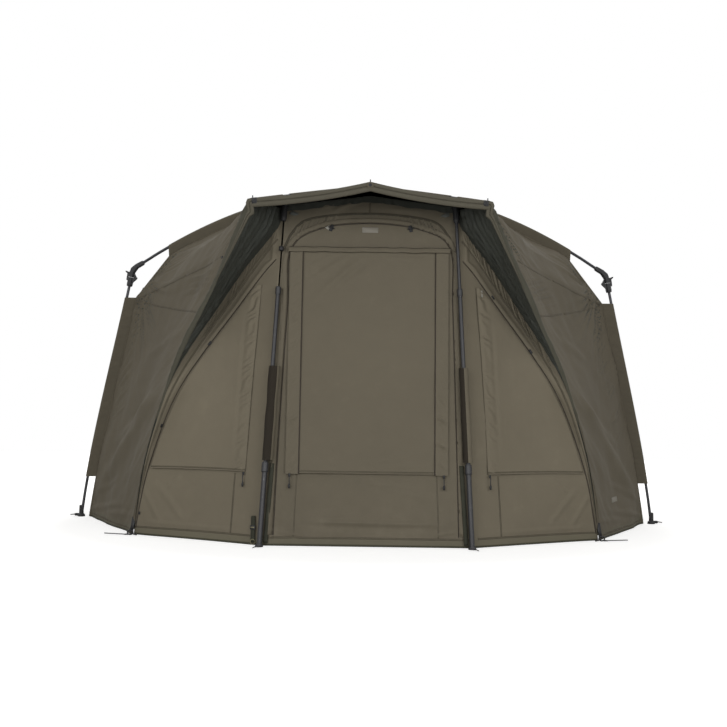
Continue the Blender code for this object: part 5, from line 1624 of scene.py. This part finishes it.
# How far the cover stands off the panel at its inner edge, how much more it does further out, and over what
EDGE_OFF, RISES_BY, RISES_OVER = 0.0022, 0.0063, 0.015
FOOT_SEAM = ((0.418, 0.034), (0.66, 0.034), (0.905, 0.034))
INNER_SEAM = ((0.500, 0.262), (0.506, 0.15), (0.512, 0.038))
FRONTS = {}
for word, side in SIDES:
    node, facing, folding = f"side_panel_{word}", (side * 0.5, -1, 0), {"side": side, "along_door": False}
    up, out = np.linspace(1, 0, PANEL_ROWS)[:, None], np.linspace(0, 1, PANEL_COLUMNS)[None, :]
    z = (GROUND_GAP + up * (SIDE_PANEL_TOP - GROUND_GAP)) * np.ones_like(out)
    inner = pole_x(z) + SEAM_INSET
    reach = inner + (np.maximum(border_at(z), inner + 0.002) - inner) * out
    hold = np.clip(np.minimum(out, 1 - out) / 0.02, 0, 1) * np.clip((1 - up) / 0.01, 0, 1)
    flat = Panel(facet_at(side, reach, z, brought_forward(reach, z)), facing)
    panel = flat.pushed(side_panel_folds(side, reach, z) * hold, facing)
    FRONTS[word] = panel
    # The side panel and its cover use the paler copy of the drab, painted light
    finishes, rests_on = (SIDE_CLOTH, LINING), [f"pole_upper_{word}"]
    front_cloth(f"side_cloth_{word}", panel, finishes, node, "stretched", rests_on, **folding)
    zip_line, zip_normals, _ = seen_on(panel, SIDE_ZIP, side, 120)
    zip_strip = strip_of(zip_line, zip_normals, ZIP_WIDE, 0.0014)
    sewn_on(f"side_zip_strip_{word}", [zip_strip], [ZIP], f"side_zip_{word}", "zip_tape", **folding)
    strips = []
    for line in (MARGIN_SEAM, FOOT_SEAM, INNER_SEAM):
        seam_points, seam_facing, _ = seen_on(panel, line, side, 90)
        strips.append(strip_of(seam_points, seam_facing, SEAM_WIDE))
    sewn_on(f"side_cloth_seams_{word}", strips, [SEAM], node, **folding)

    # The window cover lies in front, from the zip in to a line beside the pole
    z = np.linspace(SIDE_COVER_TOP, SIDE_COVER_FOOT, SIDE_COVER_ROWS)[:, None]
    z = z * np.ones((1, SIDE_COVER_COLUMNS))
    inner = reach_at(COVER_INNER_LINE, z)
    outer = np.maximum(reach_at(SIDE_ZIP, z) - 0.010, inner + 0.003)
    reach = inner + (outer - inner) * np.linspace(0, 1, SIDE_COVER_COLUMNS)[None, :]
    rise = EDGE_OFF + RISES_BY * np.clip((reach - inner) / RISES_OVER, 0, 1)
    flat = Panel(facet_at(side, reach, z, rise + brought_forward(reach, z)), facing)
    here = np.stack([reach, z], axis=-1)
    folds = side_panel_folds(side, reach, z) * 0.5 + 0.0028 * np.exp(-((z - SIDE_COVER_FOOT) / 0.018))
    slant = (z + reach * 0.8) / 0.040 + 0.5 * wobble(z / 0.11, 133)
    folds += 0.0036 * hump(reach, inner + 0.022, 0.016) * wobble(slant, 130 + side)
    folds = with_creases(folds, here, SIDE_COVER_CREASES)
    cover_panel = flat.pushed(folds, facing)
    finishes = (SIDE_CLOTH, SIDE_CLOTH)
    front_cloth(f"side_cover_{word}", cover_panel, finishes, node, "hung", [node], thick=0.0008, **folding)
    edge_line, edge_facing = beside(cover_panel, 0, -0.0012)
    hem_line, hem_facing = below(cover_panel, -1, 0.007)
    strips = [strip_of(edge_line, edge_facing, 0.0028, 0.0010), strip_of(hem_line, hem_facing, 0.006, 0.0008)]
    sewn_on(f"side_cover_trim_{word}", strips, [SEAM], node, **folding)

# %% [markdown]
# ## The dark flap behind the front edge
#
# Between the side panel's border and the canopy's front edge, a flap of dark lining closes the gap. Its dark
# lining is partly painted shade for the deep gap behind the edge. It is loose, so light catches it only on a
# few long folds that follow the edge.

# %% Reveal flaps
REVEAL_TOP, REVEAL_FOOT = 1.285, 0.022
REVEAL_ROWS, REVEAL_COLUMNS = 200, 30
# How far out past the canopy's front edge the flap reaches, and how far behind it the flap lies
PAST_EDGE, BEHIND_EDGE = 0.003, 0.007
for word, side in SIDES:
    facing = (-side * 0.8, -1, -0.3)
    z = np.linspace(REVEAL_TOP, REVEAL_FOOT, REVEAL_ROWS)[:, None] * np.ones((1, REVEAL_COLUMNS))
    border = np.maximum(border_at(z), pole_x(z) + 0.006) - 0.001
    back = facet_at(side, border, z, brought_forward(border, z) - 0.002)
    edge_reach = reach_at(FRONT_EDGE, z)
    front = np.stack([side * (edge_reach + PAST_EDGE), FRONT_LINE + edge_depth(z) + BEHIND_EDGE, z], -1)
    out = np.linspace(0, 1, REVEAL_COLUMNS)[None, :, None]
    flat = Panel(back + (front - back) * out, facing)
    wide, along = flat.flat[..., 0], flat.flat[..., 1]
    folds = 0.0075 * wobble(wide / 0.022 + 0.5 * wobble(along / 0.30, 141), 142 + side)
    folds += 0.0022 * wobble((along * 0.8 + wide) / 0.030, 145 + side)
    ease = np.clip(np.minimum(wide, wide[:, -1:] - wide) / 0.02, 0, 1)
    panel = flat.pushed(folds * ease, facing)
    node, rests_on = f"side_panel_{word}", [f"side_panel_{word}", f"canopy_side_{word}"]
    # The flap's dark lining is partly painted shade for the gap behind the canopy's edge
    front_cloth(f"reveal_{word}", panel, (LINING, LINING), node, "hung", rests_on, side, along_door=False)

# %% [markdown]
# ## The frame's own finishes
#
# The tubes, joints and pegs keep the shapes of the frame, so they only need their surfaces. Drawn tube is
# anodised to stop it corroding beside the water, and the joints are nylon because it slides without grease.

# %% Finishes for the frame's nodes
NODE_FINISHES = (
    ("rib_cap", NYLON), ("rib", FRAME_TUBE), ("leg", FRAME_TUBE), ("hub", NYLON), ("elbow", NYLON),
    ("latch", NYLON), ("foot", NYLON), ("pole_head", NYLON), ("pole", POLE_TUBE), ("corner_peg", STEEL),
)
dressed = 0
for node_name, node in frame["nodes"].items():
    finish = next((finish for start, finish in NODE_FINISHES if node_name.startswith(start)), None)
    if finish is None:
        continue
    for place in node.material_slots:
        place.material = finish
    dressed += 1
print("finishes on", dressed, "frame nodes")

# %% [markdown]
# ## Small hard parts
#
# Zip pulls, toggles, buckles and eyelets are moulded or cast, and each is a loft: rings of points joined
# one to the next and closed at both ends. A plate is an outline lofted with its edges drawn in, as a
# mould needs, and a bar is a circle lofted along a path.


# %% Lofts for small parts
def lofted(rings, slot=0):
    """A closed solid through rings that have the same number of points, as a part for joined()."""
    rings = np.asarray(rings, float)
    faces = ring_faces(*rings.shape[:2])
    points = rings.reshape(-1, 3)
    return points, faces, points[:, :2], [slot] * len(faces)


def bar(path, radius, sides=10, slot=0):
    """A round bar along a path. The radius is one number or one for each point."""
    path = np.asarray(path, float)
    ahead = unit(np.gradient(path, axis=0))
    helper = np.array([0.0, 1.0, 0.0]) if abs(ahead[0][1]) < 0.8 else np.array([1.0, 0.0, 0.0])
    side = unit(np.cross(ahead, helper))[:, None]
    other = np.cross(ahead, side[:, 0])[:, None]
    turn = np.linspace(0, math.tau, sides, endpoint=False)[None, :, None]
    radius = np.broadcast_to(np.asarray(radius, float), (len(path),))[:, None, None]
    return lofted(path[:, None] + (side * np.cos(turn) + other * np.sin(turn)) * radius, slot)


def rounded(wide, tall, corner=0.0015, steps=3):
    """The outline of a rectangle with round corners, about its middle."""
    outline = []
    for x, y, start in ((1, 1, 0.0), (-1, 1, 0.5), (-1, -1, 1.0), (1, -1, 1.5)):
        for step in range(steps + 1):
            turn = math.pi * (start + 0.5 * step / steps)
            middle = (x * (wide / 2 - corner), y * (tall / 2 - corner))
            outline.append((middle[0] + corner * math.cos(turn), middle[1] + corner * math.sin(turn)))
    return np.array(outline)


def plate(outline, thick, seat, lift=0.0, edge=0.0005, slot=0):
    """A moulded plate on a seat, which is (place, right, up, out)."""
    place, right, up, out = seat
    reach = np.abs(outline).max()
    rings = []
    for share, high in ((1 - edge / reach, 0.0), (1.0, edge), (1.0, thick - edge), (1 - edge / reach, thick)):
        flat = outline * share
        rings.append(place + right * flat[:, :1] + up * flat[:, 1:] + out * (high + lift))
    return lofted(rings, slot)


# %% Seats on the cloth, and what is fixed there
def seat_on(panel, side, reach, height, turn=0.0, lift=0.0):
    """A seat on a cloth, at a size of x and a height as seen from the front, turned in degrees."""
    upright = [(reach, height + step) for step in (-0.004, 0.0, 0.004)]
    places, normals, _ = seen_on(panel, upright, side, 3)
    out = normals[1]
    up = places[2] - places[0]
    up -= (up @ out) * out
    up /= np.linalg.norm(up)
    right = np.cross(up, out)
    turn = math.radians(turn)
    cos, sin = math.cos(turn), math.sin(turn)
    up, right = up * cos + right * sin, right * cos - up * sin
    return places[1] + out * (lift + CLOTH / 2), right, up, out


def eyelet(seat, radius=0.0050, slot=0):
    """A pressed metal eyelet: a ring with its dark hole."""
    place, right, up, out = seat
    turn = np.linspace(0, math.tau, 19)[:, None]
    circle = place + out * 0.0008 + (right * np.cos(turn) + up * np.sin(turn)) * radius
    hole = np.stack([np.cos(turn[:-1, 0]), np.sin(turn[:-1, 0])], axis=-1) * radius * 0.8
    return [bar(circle, 0.0012, 8, slot), plate(hole, 0.0008, seat, 0.0002, 0.0002, slot)]


def fixed_on(piece, node, slot, body, *folding):
    """A small part stands for a node and rides on a body."""
    stands_for([piece], node)
    if folding:
        gather_to([piece], body, *folding)
    else:
        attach(piece, body)


# %% [markdown]
# ## Zip sliders and their pulls
#
# Each of the four sliders is a cast body that wraps the zip's coil, with a bridge that holds a stiff
# pull. An angler works them with cold wet hands, so the moulded pull is five centimetres long and ends in
# a grip.

# %% Sliders
SLIDER_TOP, PULL_LONG = 0.2625, 0.050
DOOR_SLIDER_REACH, SIDE_SLIDER_REACH = 0.2895, 0.4660
SLIDER_BODY = ((-0.5, 0.0), (-0.5, 0.55), (-0.36, 1.0), (0.36, 1.0), (0.5, 0.55), (0.5, 0.0))
# Points along the pull: how far down, out and across they are, and the pull's radius there
PULL = (
    (0.001, 0.0030, 0, 0.0016), (0.006, 0.0050, 0, 0.0019), (0.018, 0.0046, 0, 0.0018),
    (0.032, 0.0042, 0.0005, 0.0019), (0.034, 0.0042, 0.0005, 0.0036), (0.040, 0.0042, 0, 0.0044),
    (PULL_LONG - 0.002, 0.0040, 0, 0.0040), (PULL_LONG, 0.0040, 0, 0.0018),
)
for word, side in SIDES:
    on_door = door_at(side * DOOR_SLIDER_REACH, SLIDER_TOP, 0.0105)
    on_side = facet_at(side, SIDE_SLIDER_REACH, SLIDER_TOP, 0.0135)
    for kind, top, slope in (("door", on_door, 0.0), ("side", on_side, side * SIDE_FACET_SLOPE)):
        across = np.array([1.0, slope, 0])
        across = across / np.linalg.norm(across)
        down = np.array([0, -FRONT_LEAN, -1.0]) / math.hypot(1, FRONT_LEAN)
        out = np.cross(down, across)
        out *= -1 if out[1] > 0 else 1
        ring = []
        for along, wide in ((-0.006, 0.0075), (-0.004, 0.0085), (0.002, 0.0080), (0.006, 0.0060)):
            middle = top + down * along
            ring.append([middle + across * (u * wide) + out * (v * 0.0034) for u, v in SLIDER_BODY])
        path = [top + down * along + out * high + across * aside for along, high, aside, _ in PULL]
        pull = bar(path, [radius for *_, radius in PULL])
        slider = joined(f"slider_and_pull_{kind}_{word}", [lofted(ring), pull], [NYLON])
        stands_for([slider], f"slider_{kind}_{word}")
        gather_to_pole([slider], side, along_door=kind == "door", body=f"{kind}_slider_{word}")

# %% [markdown]
# ## Sleeves and straps on the storm poles
#
# Half way down, each pole passes through a cloth sleeve that is sewn to the door's edge, which keeps the
# cloth on the pole in wind. The sleeve is open on the door's side, and its inside is a near-black cloth, a
# dark upright band of painted shade. Below it a webbing strap runs beside the pole to the ground, where it
# meets the peg.

# %% Pole sleeves
SLEEVE_LOW, SLEEVE_HIGH = 0.318, 0.672
# For each side: the sleeve's radius, how far in from the pole it sits, and the columns added to its dark half
# of painted shade
SLEEVE_SHAPE = {"left": (0.0210, 0.0075, 1), "right": (0.0180, 0.0, 0)}
WEBBING = stitched_finish("webbing_dark_green", (0.040, 0.041, 0.029), 0.016, rows=(0.12, 0.88))
WEBBING_PALE = stitched_finish("webbing_grey", (0.100, 0.105, 0.095), 0.016, rows=(0.12, 0.88))
for word, side in SIDES:
    height = np.linspace(SLEEVE_HIGH, SLEEVE_LOW, 60)
    radius, inward_by, painted_shade_share = SLEEVE_SHAPE[word]
    depth = FRONT_LINE + POLE_LEAN_BACK * height
    axis_points = np.stack([side * (pole_x(height) - inward_by), depth, height], axis=-1)
    behind = axis_points + np.array([0.0, 0.0260, 0.0])
    tube = teardrop(axis_points, behind, np.array([1.0, 0.0, 0.0]), 300 + side, radius)
    flare = 1 + 0.05 * wobble(height / 0.10, 305 + side)[:, None, None]
    tube = Panel(axis_points[:, None] + (tube.points - axis_points[:, None]) * flare, (0, -1, 0))
    wide = tube.points.shape[1]
    first_is_left = tube.points[0, wide // 4, 0] < axis_points[0, 0]
    split = wide // 2 + (painted_shade_share if first_is_left else 1 - painted_shade_share)
    for number, columns in enumerate((slice(0, split), slice(split - 1, None))):
        dark = (number == 0) == first_is_left
        name = f"pole_sleeve_{'inner' if dark else 'outer'}_{word}"
        # The dark half is near-black cloth, painted shade inside the sleeve
        finish = SHADE_CLOTH if dark else DOOR_CLOTH
        piece = cut_piece(name, tube, (finish, SHADE_CLOTH), columns=columns, thick=0.0007)
        stands_for([piece], "door_panel")
        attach(piece, f"storm_pole_{word}")
        declared(piece, tube, "stretched", [f"pole_middle_{word}"], columns=columns)


# %% Straps and hardware at the poles' feet
def webbing_strip(path, facing, wide=0.016, high=0.0014):
    normals = np.broadcast_to(np.asarray(facing, float) / np.linalg.norm(facing), (len(path), 3))
    return strip_of(path, normals, wide, high)


def ring_round(middle, across, other):
    """A closed ring about a point, through the ends of two half axes."""
    turn = np.linspace(0, math.tau, 25)[:-1, None]
    ring = middle + np.cos(turn) * np.array(across) + np.sin(turn) * np.array(other)
    return np.concatenate([ring, ring[:1]])


def from_foot(side, place, steps):
    """Points about a place, from steps that are (outward, back, up)."""
    return place + np.array([(side * out, back, up) for out, back, up in steps])


for word, side in SIDES:
    height = np.linspace(0.305, 0.012, 30)
    beside_pole = pole_x(height) - 0.0245 + 0.004 * (1 - height / 0.3)
    path = door_at(side * beside_pole, height, 0.0095)
    sewn_on(f"foot_strap_{word}", [webbing_strip(path, (0, -1, 0.1))], [WEBBING], "door_panel", side=side)
    ring_middle = np.array([side * 0.3985, FRONT_LINE - 0.030, 0.0042])
    ring = ring_round(ring_middle, (0.0085, 0, 0), (0, 0.0085, 0))
    hook = ((0.004, -0.006, 0.001), (0.010, -0.020, 0.001), (0.013, -0.036, 0.0005))
    hook = from_foot(side, ring_middle, hook)
    metal = joined(f"foot_ring_{word}", [bar(ring, 0.0015, 8), bar(hook, 0.0018, 8)], [STEEL])
    stands_for([metal], "door_panel")
    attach(metal, f"storm_pole_{word}")

    # A loop of webbing with a hook at each outer corner, over the corner peg
    foot = front_edge(side, 1.0) + np.array([0.0, -0.012, 0.0])
    loop_path = from_foot(side, foot, ((-0.006, 0.004, 0.070), (-0.002, 0.0, 0.040), (0.003, -0.004, 0.012)))
    ring = ring_round(foot + np.array([side * 0.006, -0.010, 0.010]), (0.011, 0, 0), (0, 0, 0.0085))
    hook = from_foot(side, foot, ((0.004, -0.010, 0.008), (-0.010, -0.018, 0.004), (-0.022, -0.026, 0.003)))
    loop = webbing_strip(loop_path, (side * 0.4, -1, 0.1))
    parts, node = [loop, bar(ring, 0.0026, 8), bar(hook, 0.0030, 8)], f"canopy_side_{word}"
    sewn_on(f"corner_loop_{word}", parts, [NYLON], node, "moulding", side, along_door=False)

# %% Strap with a buckle outside the left pole
STRAP_REACH = 0.422
height = np.linspace(0.108, 0.012, 16)
path = facet_at(-1, STRAP_REACH, height, 0.0050)
buckle_place = facet_at(-1, STRAP_REACH, 0.066, 0.0070)
facing = np.array([-0.5, -1.0, 0.15]) / np.linalg.norm([-0.5, -1.0, 0.15])
buckle_right = np.cross(np.array([0.0, 0.0, 1.0]), facing)
buckle_right = buckle_right / np.linalg.norm(buckle_right)
buckle_seat = (buckle_place, buckle_right, np.cross(facing, buckle_right), facing)
ring = ring_round(facet_at(-1, STRAP_REACH, 0.0135, 0.0080), (0.0085, 0, 0), (0, 0, 0.0095))
strap_parts = [
    webbing_strip(path, facing, 0.019),
    plate(rounded(0.023, 0.016, 0.002), 0.0035, buckle_seat, slot=1),
    plate(rounded(0.016, 0.004, 0.001), 0.0012, buckle_seat, 0.0035, slot=2),
    bar(ring, 0.0014, 8, 2),
]
sewn_on("outer_strap_left", strap_parts, [WEBBING, NYLON, BRASSY], "side_panel_left", along_door=False)

# %% [markdown]
# ## Toggles, tabs, eyelets and bare labels
#
# The door rolls up and is held by two toggles under its arch. Patches of a second cloth spread the pull
# of each rib's end over the hem, and an eyelet in each lets a guy rope through. The two woven labels are
# left bare.

# %% Toggles and the door's label
LABEL_CLOTH = cloth_finish("label_pale", (0.230, 0.215, 0.180), mottle=0.05, roughness=0.60)
PALE_TAB = cloth_finish("tab_pale", (0.300, 0.290, 0.255), mottle=0.05, roughness=0.60)
for word, x, turn in (("left", -0.1485, 20), ("right", 0.1580, -12)):
    seat = seat_on(door, 1, x, 1.2100, turn, 0.0010)
    place, right, up, out = seat
    lie = place + out * 0.0062
    path = [lie + right * far for far in (-0.0125, -0.0095, 0.0, 0.0095, 0.0125)]
    toggle = bar(path, [0.0014, 0.0030, 0.0036, 0.0030, 0.0014])
    loop = plate(rounded(0.013, 0.026, 0.002), 0.0030, seat, 0.0)
    sewn_on(f"door_toggle_{word}", [toggle, loop], [NYLON], "door_panel", "moulding")
tab_seat = seat_on(door, 1, -0.1625, 1.2115, 35, 0.0012)
tab_outline = np.array([(-0.009, -0.007), (0.009, -0.007), (0.004, 0.009), (-0.001, 0.009)])
label_seat = seat_on(door, 1, 0.0020, 1.2030, 0.5, 0.0004)
label = plate(rounded(0.062, 0.021, 0.002), 0.0010, label_seat, slot=0)
door_tab = plate(tab_outline, 0.0012, tab_seat, slot=1)
sewn_on("door_label_and_tab", [label, door_tab], [LABEL_CLOTH, PALE_TAB], "door_panel")

# %% Eyelet patches on the hem
HEM_EYELETS = (
    ("centre", (HEM_ROWS - 1) // 2, "centre_rib"),
    ("left", third + 2, "corner_rib_left"),
    ("right", 2 * third - 2, "corner_rib_right"),
)
for word, column, body in HEM_EYELETS:
    place, out = hem.points[4, column], np.array([0.0, -1.0, 0.0])
    up = hem.points[1, column] - hem.points[8, column]
    up[1] = 0
    up /= np.linalg.norm(up)
    seat = (place + out * 0.0016, np.cross(up, out), up, out)
    wide, backing = (0.024, SLEEVE) if word == "centre" else (0.019, NYLON)
    patch_plate = plate(rounded(wide, 0.020, 0.003), 0.0012, seat, slot=0)
    patch_parts = [patch_plate, *eyelet((place + out * 0.0030, *seat[1:]), slot=1)]
    patch = joined(f"hem_patch_{word}", patch_parts, [backing, NYLON])
    fixed_on(patch, "peak_hem", "canopy_cloth", body)

# %% Zip pulls, tabs and eyelets on the side panels and walls
SIDE_TABS = (
    ("left", "upper_pull", 0.6190, 0.7575, 35, 0.009, 0.018, NYLON),
    ("left", "lower_pull", 0.7990, 0.4370, 20, 0.008, 0.015, NYLON),
    ("left", "foot_pull", 0.8890, 0.0900, 15, 0.006, 0.012, NYLON),
    ("right", "upper_pull", 0.6330, 0.7413, -35, 0.009, 0.018, NYLON),
    ("right", "top_pull", 0.4833, 0.9514, -40, 0.006, 0.018, NYLON),
    ("right", "tag", 0.4318, 0.9609, -6, 0.006, 0.026, PALE_TAB),
)
for word, kind, reach, height, turn, wide, tall, finish in SIDE_TABS:
    side = dict(SIDES)[word]
    seat = seat_on(FRONTS[word], side, reach, height, turn, 0.0105 if kind == "tag" else 0.0030)
    tab, node = plate(rounded(wide, tall, 0.0015), 0.0022, seat), f"side_panel_{word}"
    sewn_on(f"side_{kind}_{word}", [tab], [finish], node, "moulding", side, along_door=False)
eyelet_seat = seat_on(WALLS["left"], -1, 0.5598, 1.0818)
wall_eyelet = joined("wall_eyelet_left", eyelet(eyelet_seat, 0.0048), [NYLON])
fixed_on(wall_eyelet, "canopy_side_left", "moulding", *CARRIED["wall_side_left_front"])
label_line, label_normals, _ = seen_on(WALLS["right"], ((1.015, 0.1393), (1.053, 0.1393)), 1, 14)
wall_label = joined("wall_label_right", [strip_of(label_line, label_normals, 0.022, 0.0012)], [LABEL_CLOTH])
fixed_on(wall_label, "canopy_side_right", "canopy_cloth", *CARRIED["wall_side_right_front"])

# %% Clip on the left storm pole and cloth tabs at both pole heads
clip_height = 1.124
pole_way = np.array([POLE_LEAN_IN, POLE_LEAN_BACK, 1.0])
pole_way = pole_way / math.sqrt(1 + POLE_LEAN_IN**2 + POLE_LEAN_BACK**2)
path = [pole_line(-1, clip_height) + pole_way * high for high in (-0.008, -0.0065, 0.0065, 0.008)]
clip = joined("pole_clip_left", [bar(path, [0.0086, 0.0098, 0.0098, 0.0086], 16)], [NYLON])
stands_for([clip], "pole_upper_left")
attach(clip, "storm_pole_left")
for word, side in SIDES:
    seat = seat_on(door, 1, side * 0.2930, 1.2610, side * -28, 0.0062)
    outline = np.array([(-0.016, 0.009), (-0.016, -0.008), (0.002, -0.006), (0.017, 0.007), (0.010, 0.010)])
    outline = outline * (-side, 1)
    tab = plate(outline[::-side], 0.0012, seat)
    sewn_on(f"pole_head_tab_{word}", [tab], [WEBBING_PALE], "door_panel", side=side)

# %% [markdown]
# ## Floor, light and camera
#
# The object stands on a plain floor in soft daylight. Three large soft lamps in front give the cloth its
# gentle shading, one overhead and one behind model its top, and the pale surroundings fill the shadows.
# What the camera sees behind is white, and so is what shiny parts reflect, but that white adds no light:
# only rays that come from a matt surface see the true, dimmer surroundings.

# %% Surroundings that look white
def white_where_seen(tree, dim_colour, strength):
    """Surroundings that are white to the camera and to reflections, and dim to everything else."""
    nodes, links = tree.nodes, tree.links
    nodes.clear()
    path, out = nodes.new("ShaderNodeLightPath"), nodes.new("ShaderNodeOutputWorld")
    seen, lit = nodes.new("ShaderNodeBackground"), nodes.new("ShaderNodeBackground")
    mix = nodes.new("ShaderNodeMixShader")
    seen.inputs["Color"].default_value = (1, 1, 1, 1)
    lit.inputs["Color"].default_value, lit.inputs["Strength"].default_value = (*dim_colour, 1), strength
    first, both = nodes.new("ShaderNodeMath"), nodes.new("ShaderNodeMath")
    for node in (first, both):
        node.operation = "MAXIMUM"
    links.new(path.outputs["Is Camera Ray"], first.inputs[0])
    links.new(path.outputs["Is Glossy Ray"], first.inputs[1])
    links.new(first.outputs[0], both.inputs[0])
    links.new(path.outputs["Is Transmission Ray"], both.inputs[1])
    links.new(both.outputs[0], mix.inputs[0])
    links.new(lit.outputs[0], mix.inputs[1])
    links.new(seen.outputs[0], mix.inputs[2])
    links.new(mix.outputs[0], out.inputs[0])


world = bpy.data.worlds.new("pale_surroundings")
world.use_nodes = True
white_where_seen(world.node_tree, (1.0, 0.98, 0.95), 0.26)
bpy.context.scene.world = world

# %% Floor
FLOOR_HALF, FLOOR_GLOW, FLOOR_WHITE_FROM = 5.0, 0.66, 1.9
floor_mesh = bpy.data.meshes.new("floor")
floor_corners = [(x * FLOOR_HALF, y * FLOOR_HALF, 0) for x, y in ((-1, -2), (1, -2), (1, 1), (-1, 1))]
floor_mesh.from_pydata(floor_corners, [], [(0, 1, 2, 3)])
floor = bpy.data.objects.new("floor", floor_mesh)
bpy.context.scene.collection.objects.link(floor)
floor_finish = Finish("pale_floor", roughness=1.0)
glow = floor_finish.node("ShaderNodeLightPath").out("Is Camera Ray")
length = {"operation": "LENGTH"}
from_middle = floor_finish.node("ShaderNodeVectorMath", length, {0: floor_finish.here()}).out("Value")
whiter = floor_finish.clamped(from_middle, FLOOR_WHITE_FROM - 0.6, FLOOR_WHITE_FROM)
glow = glow * (FLOOR_GLOW + (1 - FLOOR_GLOW) * whiter)
floor_finish.shader.inputs["Base Color"].default_value = (0.60, 0.60, 0.59, 1)
floor_finish.shader.inputs["Emission Strength"].default_value = 1.0
floor_finish.set(emission_color=floor_finish.mixed(glow, (0, 0, 0), (1, 1, 1)))
floor_mesh.materials.append(floor_finish.material)


# %% Lamps
def soft_lamp(name, place, target, width, height, power):
    """A rectangle of white light that faces a point."""
    lamp = bpy.data.lights.new(name, "AREA")
    lamp.shape, lamp.size, lamp.size_y, lamp.energy = "RECTANGLE", width, height, power
    made = bpy.data.objects.new(name, lamp)
    made.location = place
    made.rotation_euler = (Vector(target) - Vector(place)).to_track_quat("-Z", "Y").to_euler()
    bpy.context.scene.collection.objects.link(made)


MIDDLE = (0.0, -0.6, 0.7)
soft_lamp("front", (-0.6, -7.5, 2.4), MIDDLE, 5.0, 3.0, 94)
soft_lamp("left", (-3.5, -6.5, 2.2), MIDDLE, 3.2, 3.0, 108)
soft_lamp("right", (3.5, -6.5, 2.2), MIDDLE, 3.2, 3.0, 122)
soft_lamp("overhead", (0.0, 0.0, 5.2), (0, 0, 0), 4.0, 4.0, 36)
soft_lamp("behind", (0.5, 5.0, 2.4), MIDDLE, 3.5, 2.5, 75)

# %% Camera at the photograph's view
CAMERA_AWAY, CAMERA_HIGH = 4.60, 0.60
FOCAL_PIXELS, PICTURE_PIXELS, SENSOR = 1242.0, 727, 36.0
PITCH_UP, YAW_LEFT, ROLL = math.radians(1.03), math.radians(0.21), math.radians(0.75)
lens = bpy.data.cameras.new("photo_view")
lens.sensor_width = SENSOR
lens.lens = FOCAL_PIXELS / PICTURE_PIXELS * SENSOR
lens.clip_end = 60.0
camera = bpy.data.objects.new("photo_view", lens)
bpy.context.scene.collection.objects.link(camera)
turn = Matrix.Rotation(YAW_LEFT, 4, "Z") @ Matrix.Rotation(math.pi / 2 + PITCH_UP, 4, "X")
turn = turn @ Matrix.Rotation(ROLL, 4, "Z")
camera.matrix_world = Matrix.Translation((0.0, FRONT_LINE - CAMERA_AWAY, CAMERA_HIGH)) @ turn
bpy.context.scene.camera = camera
bpy.context.scene.view_settings.view_transform = "Standard"
